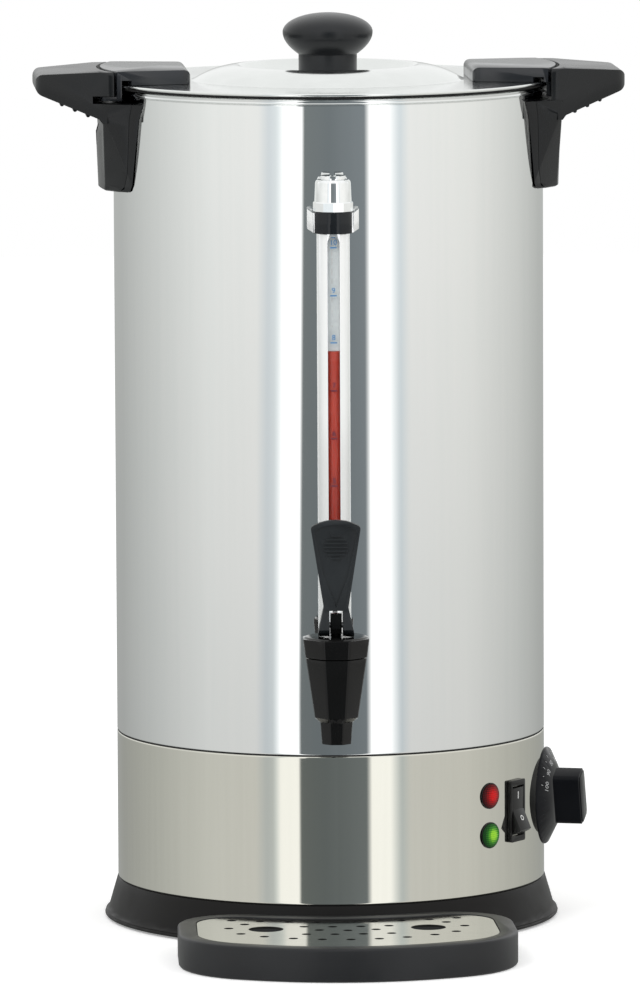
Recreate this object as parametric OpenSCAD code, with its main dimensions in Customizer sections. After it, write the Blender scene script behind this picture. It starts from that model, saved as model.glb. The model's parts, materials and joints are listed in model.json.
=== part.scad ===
// Hot water urn: a ten litre stainless boiler with a lever tap, a sight gauge beside it,
// two side handles that lock the lid, and a loose drip tray in front.
// Millimetres. +Z is up, the front is -Y, and the origin is the centre of the base on the table.

/* [Vessel and base] */
// Outer diameter of the vessel and of the band below it
body_d = 228; // [224:1:232]
// Height of the rolled rim's top above the table
rim_z = 444.3; // [440:0.1:470]
// Height of the seam between the vessel and the base band
seam_z = 101; // [99:0.5:103]
// Height of the black foot ring
foot_h = 21.4; // [20:0.1:23]
// How far the foot spreads beyond the body at the table
foot_flare = 7; // [6:0.5:8]
// Thickness of the sheet that the vessel and the band are made of
wall = 1; // [0.8:0.1:1.2]

/* [Lid and handles] */
// Height of the lid knob's top above the rim
knob_rise = 38.2; // [36:0.1:42]
// Diameter of the lid knob at its widest
knob_d = 47.8; // [44:0.1:52]
// Width over the two handles, tip to tip
handle_span = 312; // [306:1:320]
// Width of a handle's grip where it meets the lid
grip_w = 85; // [82:1:88]
// How far a handle's leg reaches below the rim
leg_drop = 53.5; // [51:0.5:56]

/* [Tap and gauge] */
// Turn of the tap and the gauge away from the middle of the front, in degrees
tap_turn = -2.6; // [-4:0.1:4]
// Height of the tap's shank above the table
tap_z = 142; // [141:0.5:144]
// Distance from the urn's axis to the spout's axis
tap_reach = 155.5; // [154:0.5:158]
// Lift of the tap's stem when the lever is down
stem_lift = 3; // [2:0.1:3]
// Tilt of the lever from closed to fully open, in degrees
lever_tilt = 60; // [40:1:60]
// Height of the top of the gauge's guard
guard_top = 380; // [376:0.5:384]

/* [Control panel] */
// Turn of the two lamps from the front, in degrees
lamp_turn = 43.5; // [42:0.1:44]
// Turn of the rocker switch from the front, in degrees
switch_turn = 54.9; // [54:0.1:56]
// Turn of the dial from the front, in degrees
dial_turn = 73.9; // [73:0.1:76]
// Height of the middle of the panel above the table
panel_z = 63.5; // [60:0.1:66]
// Diameter of the dial's skirt
dial_d = 51.7; // [48:0.1:54]
// Turn of the dial's grip from upright, in degrees
dial_rest = 20; // [0:1:40]

/* [Drip tray] */
// Width of the drip tray
tray_w = 177; // [170:1:182]
// Distance from the urn's axis to the tray's front
tray_front = 232; // [224:1:240]
// Height of the tray's rim
tray_h = 17.5; // [16:0.1:20]
// Width of the tray's rim around the grid
tray_rim = 10; // [9:0.5:12]
// Turn of the tray round the foot, in degrees
tray_turn = -0.8; // [-4:0.1:4]

/* [Hidden] */
$fn = 96;
fine = 240;              // facets of rounds as large as the body
eps = 0.02;
gap = 0.3;              // between pieces that move past each other
slip = 0.15;            // between pieces of one assembly

body_r = body_d / 2;
inner_r = body_r - wall;

steel = [0.80, 0.81, 0.81];
warm_steel = [0.80, 0.79, 0.75];
dull_steel = [0.62, 0.63, 0.64];
black = [0.14, 0.14, 0.15];
gloss_black = [0.07, 0.07, 0.08];
grey_black = [0.20, 0.20, 0.21];
white = [0.92, 0.93, 0.93];
brass = [0.78, 0.66, 0.35];
silicone = [0.85, 0.85, 0.82];
ceramic = [0.90, 0.88, 0.82];

// Vessel
bead_h = 3;                          // height of the rolled rim
bead_out = 4;                        // how far the rim stands out from the wall
floor_z = seam_z + 11;               // underside of the vessel's floor
floor_bend = 3;                      // outer radius of the floor's bent edge
floor_skirt = 3;                     // how far the floor's edge reaches down the wall
band_lip = 7;                        // how far the band's lip reaches up inside the vessel
seam_gap = 0.8;

// Foot
foot_clear = 0.8;                    // the ring stands this far above the table, on its pads
plate_z = 6.2;                       // underside of the base plate
plate_t = 1;
plate_r = body_r - 10;
pad_r = 5;
pad_ring = body_r - 2.5;
pad_recess = 2;
plate_screw_ring = body_r - 15.5;

// Lid
lid_t = 1;                           // thickness of the lid's sheet
flange_z = rim_z + 2.9;              // top of the lid's flat flange
dish_z = rim_z + 3.1;                // top of the dish that the knob stands in
crown_z = rim_z + 10.7;              // top of the raised ring round the dish
knob_neck_r = 15.5;
knob_wide_z = rim_z + 28;            // height of the knob's widest place
knob_neck_z = rim_z + 16.2;          // where the knob's underside meets its neck
curl_r = 0.8;

// Lid lugs and the slots that hold them
lug_top = rim_z + 10.5;
lug_end_w = 66;                      // width of the lug's inner end
lug_in = 74.5;                         // distance from the axis to the lug's inner end
lug_arm_r = [body_r + 4.6, body_r + 6.8];
lug_tongue_r = body_r + 13.5;
tongue_z = [rim_z - 5, rim_z - 2.9];
slot_z = [rim_z - 6.5, rim_z - 2.5];
slot_r = body_r + 18.4;
lid_recess_r = body_r + 8.9;         // the grip's inner wall, round the lug
slot_end = 36;                       // where the slot's closed end stands, from the middle

// Handles
tip_x = handle_span / 2;
leg_x = [119.9, 121.5] + [1, 1] * (body_r - 114);   // outer face, at the bottom and the top
leg_z = [rim_z - leg_drop, rim_z - 14.3, slot_z[0]];
saddle_r = [body_r + 1.8, body_r + 3.9];            // split between shell and saddle
handle_screw_z = rim_z - 25.3;

// Tap
cup_z = [127.2, 158.1] + [1, 1] * (tap_z - 142);
cup_w = [11.2, 15.7];                // half widths over the flats
spout_z = [113.2, 124.6] + [1, 1] * (tap_z - 142);
spout_w = [7.5, 8.35];
bonnet_w = [15.95, 17.15];
spout_bore = 5.5;
seat_z = tap_z - 8;                  // top of the valve seat
chamber_r = 9.5;
shank_r = 8;
shank_bore = 4.5;
shank_end = body_r - 14;             // inner end of the shank, inside the vessel
bonnet_top = cup_z[1] + 11.1;
pin_z = bonnet_top + 5.8;            // the lever's pin
pin_r = 1.5;
stem_r = 2.7;
post_w = 5.9;
fork_w = 7;
cam_r = 5.4;                         // from the pin to the lever's foot, closed
spring_r = 6;
spring_wire = 0.9;

// Gauge
gauge_reach = body_r + 10.4;         // distance from the urn's axis to the gauge's axis
guard_r = 8.6;
guard_t = 0.9;
glass_r = [3.4, 5];
window_w = 6.3;
window_top = guard_top - 5.6;
tee_r = 11;
tee_reach = [body_r + 1.1, body_r + 18];
socket_top = tap_z + 26;
collar_r = 10.8;
collar_h = 11;
collar_z = guard_top - 4;
cap_z = collar_z + collar_h;

// Panel
lamp_z = panel_z + 10.4;
lamp_low_z = panel_z - 10.6;
lamp_r = 6.95;
switch_h = 32.8;
switch_w = 14.4;
rocker_angle = 12;                   // each way from level
rocker_pivot = body_r - 2;
rocker_r = 12.9;
rocker_w = 11;
trunnion_r = 1.5;
dial_z = panel_z + 3.1;
dial_back = body_r + 2.5;
shaft_r = 3;

// Drip tray
tray_back = body_r + foot_flare + 1.7;    // radius of the hollow back
tray_floor = 2;
grid_t = 1.2;
grid_z = tray_h - 0.5 - grid_t;
front_arc = 130;                          // radius of the bowed front
front_sweep = 23.6;                       // half of the bow's angle
lobe_y = -112;                            // where the tray's two ends reach back to
drain_x = 42.2;
drain_y = -161;
drain_r = 9.1;
hole_r = 2.5;

// ---- Outlines -------------------------------------------------------------------------------

// Unit vector from a towards b
function towards(a, b) = (b - a) / norm(b - a);

// Points of an arc about c, from one angle to another
function arc(c, r, from, to, n = 12) =
    [for (i = [0:n]) let(a = from + (to - from) * i / n) c + r * [cos(a), sin(a)]];

// Points that round the corner p, between its neighbours a and b
function corner(a, p, b, r, n) =
    let(u = towards(p, a), v = towards(p, b), half = acos(u * v) / 2,
        c = p + (u + v) / norm(u + v) * r / sin(half),
        s = p + u * r / tan(half) - c, e = p + v * r / tan(half) - c,
        from = atan2(s.y, s.x), turn = (atan2(e.y, e.x) - from + 540) % 360 - 180)
    arc(c, r, from, from + turn, n);

// Outline through corners given as [x, y] or, rounded, as [x, y, radius]
function rounded(pts, n = 5) =
    [for (i = [0:len(pts) - 1])
        let(a = pts[(i + len(pts) - 1) % len(pts)], p = pts[i], b = pts[(i + 1) % len(pts)])
        each len(p) < 3 ? [[p.x, p.y]] : corner([a.x, a.y], [p.x, p.y], [b.x, b.y], p.z, n)];

// The same outline mirrored about the Y axis, to close a half outline
function mirrored(half) =
    concat(half, [for (i = [len(half) - 1:-1:0]) if (abs(half[i].x) > eps) [-half[i].x, half[i].y]]);

// ---- Placing --------------------------------------------------------------------------------

// Turns what faces the front round the urn's axis
module turned(angle) rotate([0, 0, angle]) children();

// Stands children on the side of the urn: their +Z points outwards and their +Y up
module outwards(angle, z) turned(angle) translate([0, 0, z]) rotate([90, 0, 0]) children();

// Both handles and lugs: the second is the first one turned half round
module other_side() rotate([0, 0, 180]) children();

// Extrudes an outline drawn in X and Z along Y, centred
module along_y(length) translate([0, length / 2, 0]) rotate([90, 0, 0]) linear_extrude(length) children();

// Extrudes an outline drawn in Y and Z along X, from x = 0
module along_x(length) rotate([90, 0, 90]) linear_extrude(length) children();

// Tube with flat ends
module tube(r_out, r_in, h, facets = $fn)
    rotate_extrude($fn = facets) translate([r_in, 0]) square([r_out - r_in, h]);

// Round wire along a path, as one closed solid with flat ends
module wire(path, r, sides = 6, up = [0, 0, 1]) {
    last = len(path) - 1;
    rings = [for (i = [0:last])
        let(t = towards(path[max(i - 1, 0)], path[min(i + 1, last)]),
            side = cross(t, up) / norm(cross(t, up)), top = cross(side, t))
        for (k = [0:sides - 1]) path[i] + r * (cos(360 * k / sides) * side + sin(360 * k / sides) * top)];
    faces = concat(
        [[for (k = [sides - 1:-1:0]) k]],
        [for (i = [0:last - 1], k = [0:sides - 1])
            let(a = i * sides + k, b = i * sides + (k + 1) % sides)
            each [[a, b, a + sides], [b, b + sides, a + sides]]],
        [[for (k = [0:sides - 1]) last * sides + k]]);
    polyhedron(rings, faces, convexity = 8);
}

// ---- Vessel and base ------------------------------------------------------------------------

// Vessel's wall: a rolled and welded sheet with a rolled rim and the hole for the tap's shank
module tank() color(steel) difference() {
    rotate_extrude() {
        translate([inner_r, seam_z]) square([wall, rim_z - bead_h / 2 - seam_z]);
        translate([inner_r, rim_z - bead_h + 0.15]) square([wall + bead_out - bead_h / 2, bead_h - 0.3]);
        translate([body_r + bead_out - bead_h / 2, rim_z - bead_h / 2]) circle(r = bead_h / 2);
    }
    outwards(tap_turn, tap_z) translate([0, 0, body_r - 10]) cylinder(r = shank_r + slip, h = 20);
}

// Vessel's floor, welded in above the seam with its edge bent down along the wall
module tank_floor() color(steel)
    let(c = [inner_r - floor_bend, floor_z + wall - floor_bend])
    rotate_extrude() polygon(concat(
        [[0, floor_z]], arc(c, floor_bend - wall, 90, 0, 4), [[inner_r - wall, floor_z - floor_skirt]],
        [[inner_r, floor_z - floor_skirt]], arc(c, floor_bend, 0, 90, 6), [[0, floor_z + wall]]));

// Band round the base, with a lip that goes up inside the vessel and the panel's cut-outs
module base_band() color(warm_steel) difference() {
    rotate_extrude() polygon([
        [inner_r, foot_h + 0.6], [body_r, foot_h + 0.6], [body_r, seam_z - seam_gap],
        [inner_r - slip, seam_z - seam_gap], [inner_r - slip, seam_z + band_lip],
        [inner_r - slip - wall, seam_z + band_lip], [inner_r - slip - wall, seam_z - seam_gap - 2 * wall],
        [inner_r, seam_z - seam_gap - 3 * wall]]);
    for (z = [lamp_z, lamp_low_z]) panel_hole(lamp_turn, z, 5.7);
    panel_hole(dial_turn, dial_z, 5.4);
    panel_hole(180, 40, 7.4);
    outwards(switch_turn, panel_z) translate([-7, -14.4, body_r - 15]) cube([14, 28.8, 20]);
}

// Round hole through the band
module panel_hole(angle, z, r) outwards(angle, z) translate([0, 0, body_r - 15]) cylinder(r = r, h = 20);

// Flared foot ring, with bosses inside for the pads and for the base plate's screws
module foot_ring() color(grey_black) difference() {
    union() {
        rotate_extrude() {
            polygon(concat(
                [[inner_r - slip - 3, foot_h + 8], [inner_r - slip, foot_h + 8], [inner_r - slip, foot_h + 0.6],
                 [body_r - 0.7, foot_h + 0.6], [body_r - 0.7, foot_h], [body_r + 0.3, foot_h - 0.3],
                 [body_r + 2.6, foot_h - 8.2], [body_r + 4.5, foot_h - 14.8]],
                arc([body_r + foot_flare + 1.4, 6.6], 3.8, 200, 245, 3),
                arc([body_r + foot_flare - 0.8, foot_clear + 1], 1, 70, -90, 5),
                [[body_r + 2.2, foot_clear], [body_r + 1.6, 6.5], [body_r - 0.5, 13], [inner_r - slip - 3, 19]]));
            translate([plate_r - 4, plate_z + plate_t]) square([body_r + 1 - plate_r + 4, 2]);
        }
        for (i = [0:3]) {
            turned(90 * i + 45) translate([0, -pad_ring, foot_clear]) cylinder(r = pad_r + 1.8, h = 7);
            turned(90 * i) translate([0, -plate_screw_ring, plate_z + plate_t]) cylinder(r = 4.5, h = 9);
        }
    }
    for (i = [0:3]) {
        turned(90 * i + 45) translate([0, -pad_ring, -1]) cylinder(r = pad_r + slip, h = foot_clear + pad_recess + 1);
        turned(90 * i) translate([0, -plate_screw_ring, 0]) cylinder(r = 2, h = 15);
    }
}

// Steel plate that closes the base, with cooling slots
module base_plate() color(dull_steel) translate([0, 0, plate_z]) difference() {
    cylinder(r = plate_r, h = plate_t);
    for (i = [0:3]) turned(90 * i) translate([0, -plate_screw_ring, -1]) cylinder(r = 2.2, h = 4);
    for (i = [0:11]) turned(30 * i) translate([-2, -70, -1]) cube([4, 30, 4]);
}

module rubber_feet() color(gloss_black)
    for (i = [0:3]) turned(90 * i + 45) translate([0, -pad_ring, 0]) cylinder(r = pad_r, h = foot_clear + pad_recess);

// Pan-head screws that hold the base plate to the foot ring
module base_screws() color(dull_steel)
    for (i = [0:3]) turned(90 * i) translate([0, -plate_screw_ring, plate_z]) {
        difference() {
            translate([0, 0, -2]) cylinder(r1 = 3.4, r2 = 4, h = 2);
            translate([-2.4, -0.5, -3]) cube([4.8, 1, 2]);
            translate([-0.5, -2.4, -3]) cube([1, 4.8, 2]);
        }
        translate([0, 0, -eps]) cylinder(r = 1.9, h = 8);
    }

// ---- Handles --------------------------------------------------------------------------------

// Half outline of the leg, seen from above, at the bottom (0), the shoulder (1) or the top (2)
function leg_half(level, inset = 0) =
    let(out = [leg_x[0], leg_x[1] - 0.2, leg_x[1]][level] - inset,
        face = [26, 40.4, 42.3][level] - inset,
        split = [[body_r - 4, 37.5], [body_r - 5.4, 46.5], [body_r - 6, 49]][level],
        edge = [[body_r - 8, 42], [body_r - 11.6, 50.1], [body_r - 13.4, 54]][level])
    [[body_r - 22, edge.y + 3 - inset], [edge.x, edge.y - inset], [split.x, split.y - inset], [out, face, 3]];

// Thin slice of the leg
module leg_slice(level, z, inset = 0)
    let(half = leg_half(level, inset))
    translate([0, 0, z]) linear_extrude(eps)
        polygon(rounded(concat(half, [for (i = [3:-1:0]) [for (k = [0:len(half[i]) - 1]) k == 1 ? -half[i][k] : half[i][k]]])));

// The whole leg, tapered to its foot and flaring at the shoulder
module leg_block() {
    hull() {
        leg_slice(0, leg_z[0], 3);
        leg_slice(0, leg_z[0] + 0.8, 1.4);
        leg_slice(0, leg_z[0] + 3.6);
        leg_slice(1, leg_z[1]);
    }
    hull() {
        leg_slice(1, leg_z[1]);
        leg_slice(2, leg_z[2] - eps);
    }
}

// Side view of the grip: sloping top, rounded tip and the sloping finger side below it
function grip_side() = rounded([
    [body_r - 10, rim_z + 10.3], [body_r + 9.6, rim_z + 10.1], [tip_x, rim_z + 8.1, 4],
    [tip_x, rim_z - 1.6, 5], [body_r + 9.2, rim_z - 14.6, 1.5], [body_r + 7.4, rim_z - 17],
    [body_r + 4.8, rim_z - 17], [body_r + 4.8, rim_z - 8], [body_r - 10, rim_z - 8]]);

// Plan of the grip: parallel at the lid and narrowing to a rounded tip
function grip_plan() = rounded(concat(
    [[body_r - 20, grip_w / 2], [body_r + 4, grip_w / 2, 6], [tip_x, grip_w / 2 - 14, 9]],
    [[tip_x, -grip_w / 2 + 14, 9], [body_r + 4, -grip_w / 2, 6], [body_r - 20, -grip_w / 2]]));

// End view of the grip, with rounded upper edges
function grip_end() = rounded([
    [-grip_w / 2 - 8, rim_z - 30], [-grip_w / 2 - 8, slot_z[0] - eps], [-grip_w / 2, slot_z[0] - eps],
    [-grip_w / 2, rim_z + 10.3, 2.5], [grip_w / 2, rim_z + 10.3, 2.5],
    [grip_w / 2, slot_z[0] - eps], [grip_w / 2 + 8, slot_z[0] - eps], [grip_w / 2 + 8, rim_z - 30]]);

// Round hole through the handle for its screw, and the recess for the screw's head
module handle_screw_hole(r) translate([body_r - 5, 0, handle_screw_z]) rotate([0, 90, 0]) cylinder(r = r, h = 20);

// Outer shell of a handle: grip, leg and the slot that holds the lid's tongue down
module handle_grip() color(black) difference() {
    union() {
        intersection() {
            along_y(2 * grip_w) polygon(grip_side());
            translate([0, 0, leg_z[0]]) linear_extrude(leg_drop + 20) polygon(grip_plan());
            translate([body_r - 30, 0, 0]) along_x(90) polygon(grip_end());
        }
        difference() {
            leg_block();
            cylinder(r = body_r, h = rim_z, $fn = fine);
        }
        for (i = [0:2]) {
            x = tip_x - 13.8 - 6.8 * i;
            translate([x, 28 + 2 * i, rim_z - 7.4 - 2.8 * i]) rotate([90, 0, 0]) cylinder(r = 1.1, h = 56 + 4 * i);
        }
    }
    // split from the saddle, a cone round the urn
    translate([0, 0, leg_z[0] - 1])
        cylinder(r1 = saddle_r[0] + slip, r2 = saddle_r[1] + slip, h = slot_z[0] - leg_z[0] + 1, $fn = fine);
    // space for the lid's rim and lug
    translate([0, 0, slot_z[0]]) cylinder(r = lid_recess_r, h = 40, $fn = fine);
    // slot for the tongue, closed at one end
    intersection() {
        translate([0, 0, slot_z[0]]) cylinder(r = slot_r, h = slot_z[1] - slot_z[0], $fn = fine);
        translate([body_r - 30, -slot_end, slot_z[0] - 1]) cube([60, 120, 10]);
    }
    handle_screw_hole(2.3);
    translate([leg_x[1] - 3.4, 0, handle_screw_z]) rotate([0, 90, 0]) cylinder(r = 5.7, h = 12);
    translate([body_r - 5, 0, handle_screw_z]) rotate([0, 90, 0]) cylinder(r = 5.3, h = 8.2);
}

// Saddle between the vessel and the handle's shell
module handle_saddle() color(black) difference() {
    intersection() {
        leg_block();
        translate([0, 0, leg_z[0] - 1])
            cylinder(r1 = saddle_r[0], r2 = saddle_r[1], h = slot_z[0] - leg_z[0] + 1, $fn = fine);
    }
    cylinder(r = body_r + slip, h = rim_z, $fn = fine);
    handle_screw_hole(5.3);
}

module handle_grip_right() handle_grip();
module handle_grip_left() other_side() handle_grip();
module handle_saddle_right() handle_saddle();
module handle_saddle_left() other_side() handle_saddle();

// Threaded bosses welded to the vessel, one behind each handle
module handle_bosses() color(dull_steel) for (side = [0, 180]) turned(side) difference() {
    translate([body_r - 3, 0, handle_screw_z]) rotate([0, 90, 0]) cylinder(r = 5, h = 6);
    translate([0, 0, handle_screw_z - 10]) cylinder(r = body_r, h = 20, $fn = fine);
    handle_screw_hole(2);
}

// Countersunk-look screws in the handles' recesses
module handle_screws() color(steel) for (side = [0, 180]) turned(side)
    translate([leg_x[1] - 3.4, 0, handle_screw_z]) rotate([0, 90, 0]) difference() {
        rotate_extrude() polygon(concat([[0, 3.6]], arc([0, -2.6], 6.2, 82, 45, 4), [[4.4, 0], [1.9, 0], [1.9, -3.6], [0, -3.6]]));
        translate([-2.6, -0.5, 2.4]) cube([5.2, 1, 2]);
        translate([-0.5, -2.6, 2.4]) cube([1, 5.2, 2]);
    }

// ---- Lid ------------------------------------------------------------------------------------

// Upper surface of the lid from the centre outwards, as [radius, height]
function lid_top() =
    let(c = [48.5, crown_z - 3.4], s = c + 3.4 * [cos(86), sin(86)],
        r = (s.y - flange_z) / (sin(86) - sin(57)), d = s - r * [cos(86), sin(86)])
    concat([[0, dish_z], [36, dish_z]], arc([36, dish_z + 7], 7, -82, -40, 4),
        arc(c, 3.4, 142, 86, 5), arc(d, r, 84, 57, 9));

// Section of the lid: its sheet, the curled edge and the locating step under the flange
function lid_section() =
    let(top = lid_top(), under = flange_z - lid_t, step_r = inner_r - 3,
        curl = [body_r + 3.2, flange_z - lid_t / 2], a = 180 - asin(lid_t / 2 / curl_r))
    concat(
        top, arc(curl, curl_r, a, -a, 14),
        [[step_r + lid_t, under], [step_r + lid_t, rim_z - 4],
         [step_r, rim_z - 4], [step_r, under]],
        [for (i = [len(top) - 1:-1:0]) top[i] - [0, lid_t]]);

// Pressed lid: dished centre, raised ring, cone, flat flange, curled edge and a locating step
module lid_pan() color(steel) difference() {
    rotate_extrude() polygon(lid_section());
    translate([0, 0, dish_z - 5]) cylinder(r = 2.8, h = 10);
    for (side = [0, 180], y = [-28, 28]) turned(side) translate([94, y, rim_z - 2]) cylinder(r = 2.1, h = 8);
}

// Radius of the knob's underside, from its widest place (0) down to its neck (1)
function knob_under(s) = knob_neck_r + (knob_d / 2 - knob_neck_r) * (1 - s * s);

// Turned mushroom knob with an insert hole
module lid_knob() color(black) difference() {
    rotate_extrude() polygon(concat(
        [[0, dish_z + slip]], [[knob_neck_r, dish_z + slip]],
        [for (i = [8:-1:1]) [knob_under(i / 8), knob_wide_z - (knob_wide_z - knob_neck_z) * i / 8]],
        [for (a = [0:7.5:90]) [knob_d / 2 * cos(a), knob_wide_z + (rim_z + knob_rise - knob_wide_z) * sin(a)]]));
    translate([0, 0, dish_z - 1]) cylinder(r = 2.5, h = 20);
}

module lid_knob_washer() color(dull_steel) translate([0, 0, dish_z - lid_t - 1.2]) tube(8, 2.8, 1.2);

module lid_knob_screw() color(dull_steel) translate([0, 0, dish_z - lid_t - 1.2]) {
    difference() {
        translate([0, 0, -2.8]) cylinder(r1 = 3.8, r2 = 4.6, h = 2.8);
        translate([-3, -0.6, -4]) cube([6, 1.2, 2.4]);
    }
    translate([0, 0, -eps]) cylinder(r = 2.4, h = 18);
}

// Lug on the lid: its arm hangs outside the rim and its tongue slides into the handle's slot
module lid_lug() color(black) difference() {
    union() {
        intersection() {
            along_y(2 * grip_w) polygon(rounded([
                [lug_in, flange_z + slip], [lug_in, lug_top, 3.5], [body_r + 20, lug_top], [body_r + 20, flange_z + slip]]));
            along_x(200) polygon(rounded([
                [-grip_w / 2 + 0.5, flange_z - 9], [-grip_w / 2 + 0.5, lug_top, 2.2],
                [grip_w / 2 - 0.5, lug_top, 2.2], [grip_w / 2 - 0.5, flange_z - 9]]));
            translate([0, 0, flange_z - 10]) linear_extrude(40) polygon(rounded([
                [lug_in, -lug_end_w / 2, 5], [body_r + 4, -grip_w / 2 + 0.5], [body_r + 20, -grip_w / 2 + 0.5],
                [body_r + 20, grip_w / 2 - 0.5], [body_r + 4, grip_w / 2 - 0.5], [lug_in, lug_end_w / 2, 5]]));
            turned(90) cylinder(r = lug_arm_r[1], h = lug_top + 5, $fn = fine);
        }
        intersection() {
            turned(90) translate([0, 0, tongue_z[0]])
                tube(lug_arm_r[1] - eps, lug_arm_r[0], lug_top - 2 - tongue_z[0], fine);
            translate([60, -slot_end + 1, tongue_z[0] - 1]) cube([80, slot_end - 1 + grip_w / 2 - 1.2, 20]);
        }
        intersection() {
            turned(90) translate([0, 0, tongue_z[0]])
                tube(lug_tongue_r, lug_arm_r[0] + eps, tongue_z[1] - tongue_z[0], fine);
            translate([60, -slot_end + 1, tongue_z[0] - 1]) cube([80, slot_end - 1 + grip_w / 2 - 2.5, 20]);
        }
    }
    // channel over the lid's curled edge
    turned(90) translate([0, 0, flange_z - 1.5]) tube(lug_arm_r[0] - eps, body_r - 1, 4.2, fine);
    for (y = [-28, 28]) translate([94, y, flange_z - 1]) cylinder(r = 1.9, h = 6);
}

module lid_lug_right() lid_lug();
module lid_lug_left() other_side() lid_lug();

// Rivets that hold the lugs, put in from under the flange
module lid_lug_rivets() color(dull_steel)
    for (side = [0, 180], y = [-28, 28]) turned(side) translate([94, y, flange_z - lid_t]) {
        translate([0, 0, -1]) cylinder(r1 = 2.8, r2 = 3.4, h = 1);
        translate([0, 0, -eps]) cylinder(r = 1.8, h = 5.4);
    }

// ---- Tap ------------------------------------------------------------------------------------

// Moves children to the spout's upright axis
module at_tap() turned(tap_turn) translate([0, -tap_reach, 0]) children();

// Moves children to the gauge's upright axis
module at_gauge() turned(tap_turn) translate([0, -gauge_reach, 0]) children();

// Eight-sided cone of half widths w1 and w2 over its flats, with softened corners
module soft_octagon(w1, w2, h) intersection() {
    cylinder(r1 = w1 * 1.065, r2 = w2 * 1.065, h = h);
    rotate([0, 0, 22.5]) cylinder(r1 = w1 / cos(22.5), r2 = w2 / cos(22.5), h = h, $fn = 8);
}

// Tap body: cup, spout and the threaded shank that goes through the vessel's wall
module tap_body() color(gloss_black) difference() {
    union() {
        at_tap() {
            translate([0, 0, spout_z[0]]) soft_octagon(spout_w[0], spout_w[1], spout_z[1] - spout_z[0]);
            translate([0, 0, spout_z[1] - eps]) soft_octagon(spout_w[1], cup_w[0], cup_z[0] - spout_z[1] + 2 * eps);
            translate([0, 0, cup_z[0]]) soft_octagon(cup_w[0], cup_w[1], cup_z[1] - cup_z[0]);
            translate([0, 0, cup_z[1] - 1]) cylinder(r = 13.4, h = 8.4);
        }
        outwards(tap_turn, tap_z) {
            translate([0, 0, shank_end]) cylinder(r = shank_r, h = tap_reach - shank_end - 11);
            translate([0, 0, tee_reach[1] + 1.2]) cylinder(r = 12.5, h = 3);
        }
    }
    at_tap() {
        translate([0, 0, spout_z[0] - 1]) cylinder(r = spout_bore, h = 30);
        // chamber round a raised valve seat
        difference() {
            translate([0, 0, seat_z - 3]) cylinder(r = chamber_r, h = 60);
            translate([0, 0, seat_z - 4]) cylinder(r = spout_bore + 1.8, h = 4);
        }
    }
    outwards(tap_turn, tap_z) translate([0, 0, shank_end - 1]) cylinder(r = shank_bore, h = tap_reach - shank_end - 5);
}

// Screwed bonnet that closes the cup and guides the stem
module tap_bonnet() color(gloss_black) at_tap() translate([0, 0, cup_z[1] + 0.1]) difference() {
    union() {
        cylinder(r = 14.8, h = 0.6);
        translate([0, 0, 0.5]) soft_octagon(bonnet_w[0], bonnet_w[1], 9.7);
        translate([0, 0, 10.1]) cylinder(r1 = 16.9, r2 = 15.6, h = bonnet_top - cup_z[1] - 10.2);
    }
    translate([0, 0, -1]) cylinder(r = 13.5, h = 8.9);
    cylinder(r = stem_r + gap, h = 20);
}

// Washers either side of the vessel's wall and of the gauge's tee
module tap_gaskets() color(silicone) outwards(tap_turn, tap_z) {
    difference() {
        translate([0, 0, body_r - 1]) tube(11.5, shank_r + slip, 2);
        rotate([90, 0, 0]) cylinder(r = body_r + 0.02, h = 60, center = true, $fn = fine);
    }
    translate([0, 0, tee_reach[1] + 0.05]) tube(11.5, shank_r + slip, 1.1);
    intersection() {
        translate([0, 0, inner_r - 3]) tube(12, shank_r + slip, 4);
        rotate([90, 0, 0]) cylinder(r = inner_r - 0.02, h = 60, center = true, $fn = fine);
    }
}

// Six-sided nut that clamps the shank from inside the vessel
module tap_nut() color(gloss_black) outwards(tap_turn, tap_z) translate([0, 0, body_r - 10]) difference() {
    union() {
        cylinder(r = 14.5, h = 5, $fn = 6);
        translate([0, 0, 4.9]) cylinder(r = 12.4, h = 1);
    }
    translate([0, 0, -1]) cylinder(r = shank_r + slip, h = 10);
}

// Stem: a rod with a collar for the spring and a flat-sided post for the lever's pin
module tap_stem() color(gloss_black) at_tap() difference() {
    union() {
        translate([0, 0, seat_z + 2]) cylinder(r = stem_r, h = bonnet_top + 1 - seat_z);
        translate([0, 0, seat_z + 10.6]) cylinder(r = 5.4, h = 1.6);
        translate([-post_w / 2, -post_w / 2, bonnet_top + 1.5]) cube([post_w, post_w, pin_z + 6.1 - bonnet_top - 1.5]);
    }
    translate([-10, 0, pin_z]) rotate([0, 90, 0]) cylinder(r = pin_r, h = 20, $fn = 32);
}

// Silicone cup that closes the seat
module tap_seat_cup() color(silicone) at_tap() rotate_extrude() polygon([
    [0, seat_z + 0.2], [7.6, seat_z + 0.2], [8, seat_z + 1], [8, seat_z + 4], [5.6, seat_z + 6.5], [5.2, seat_z + 10.5],
    [stem_r + 0.02, seat_z + 10.5], [stem_r + 0.02, seat_z + 1.95], [0, seat_z + 1.95]]);

// Coil spring between the stem's collar and the bonnet, with closed ends
module tap_spring() color(dull_steel) at_tap() {
    low = seat_z + 12.4 + spring_wire;
    high = cup_z[1] + 7.8 - spring_wire;
    turns = 6;
    steps = 12;
    path = [for (i = [0:turns * steps])
        let(f = i / (turns * steps), a = 360 * i / steps)
        [spring_r * cos(a), spring_r * sin(a), low + (high - low) * min(max((f * turns - 0.75) / (turns - 1.5), 0.04 * f), 1)
            + 0.001 * i]];
    wire(path, spring_wire / 2);
}

// Steel pin through the fork and the post
module tap_pin() color(steel) at_tap() translate([-8, 0, pin_z]) rotate([0, 90, 0]) cylinder(r = pin_r, h = 16, $fn = 32);

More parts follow.
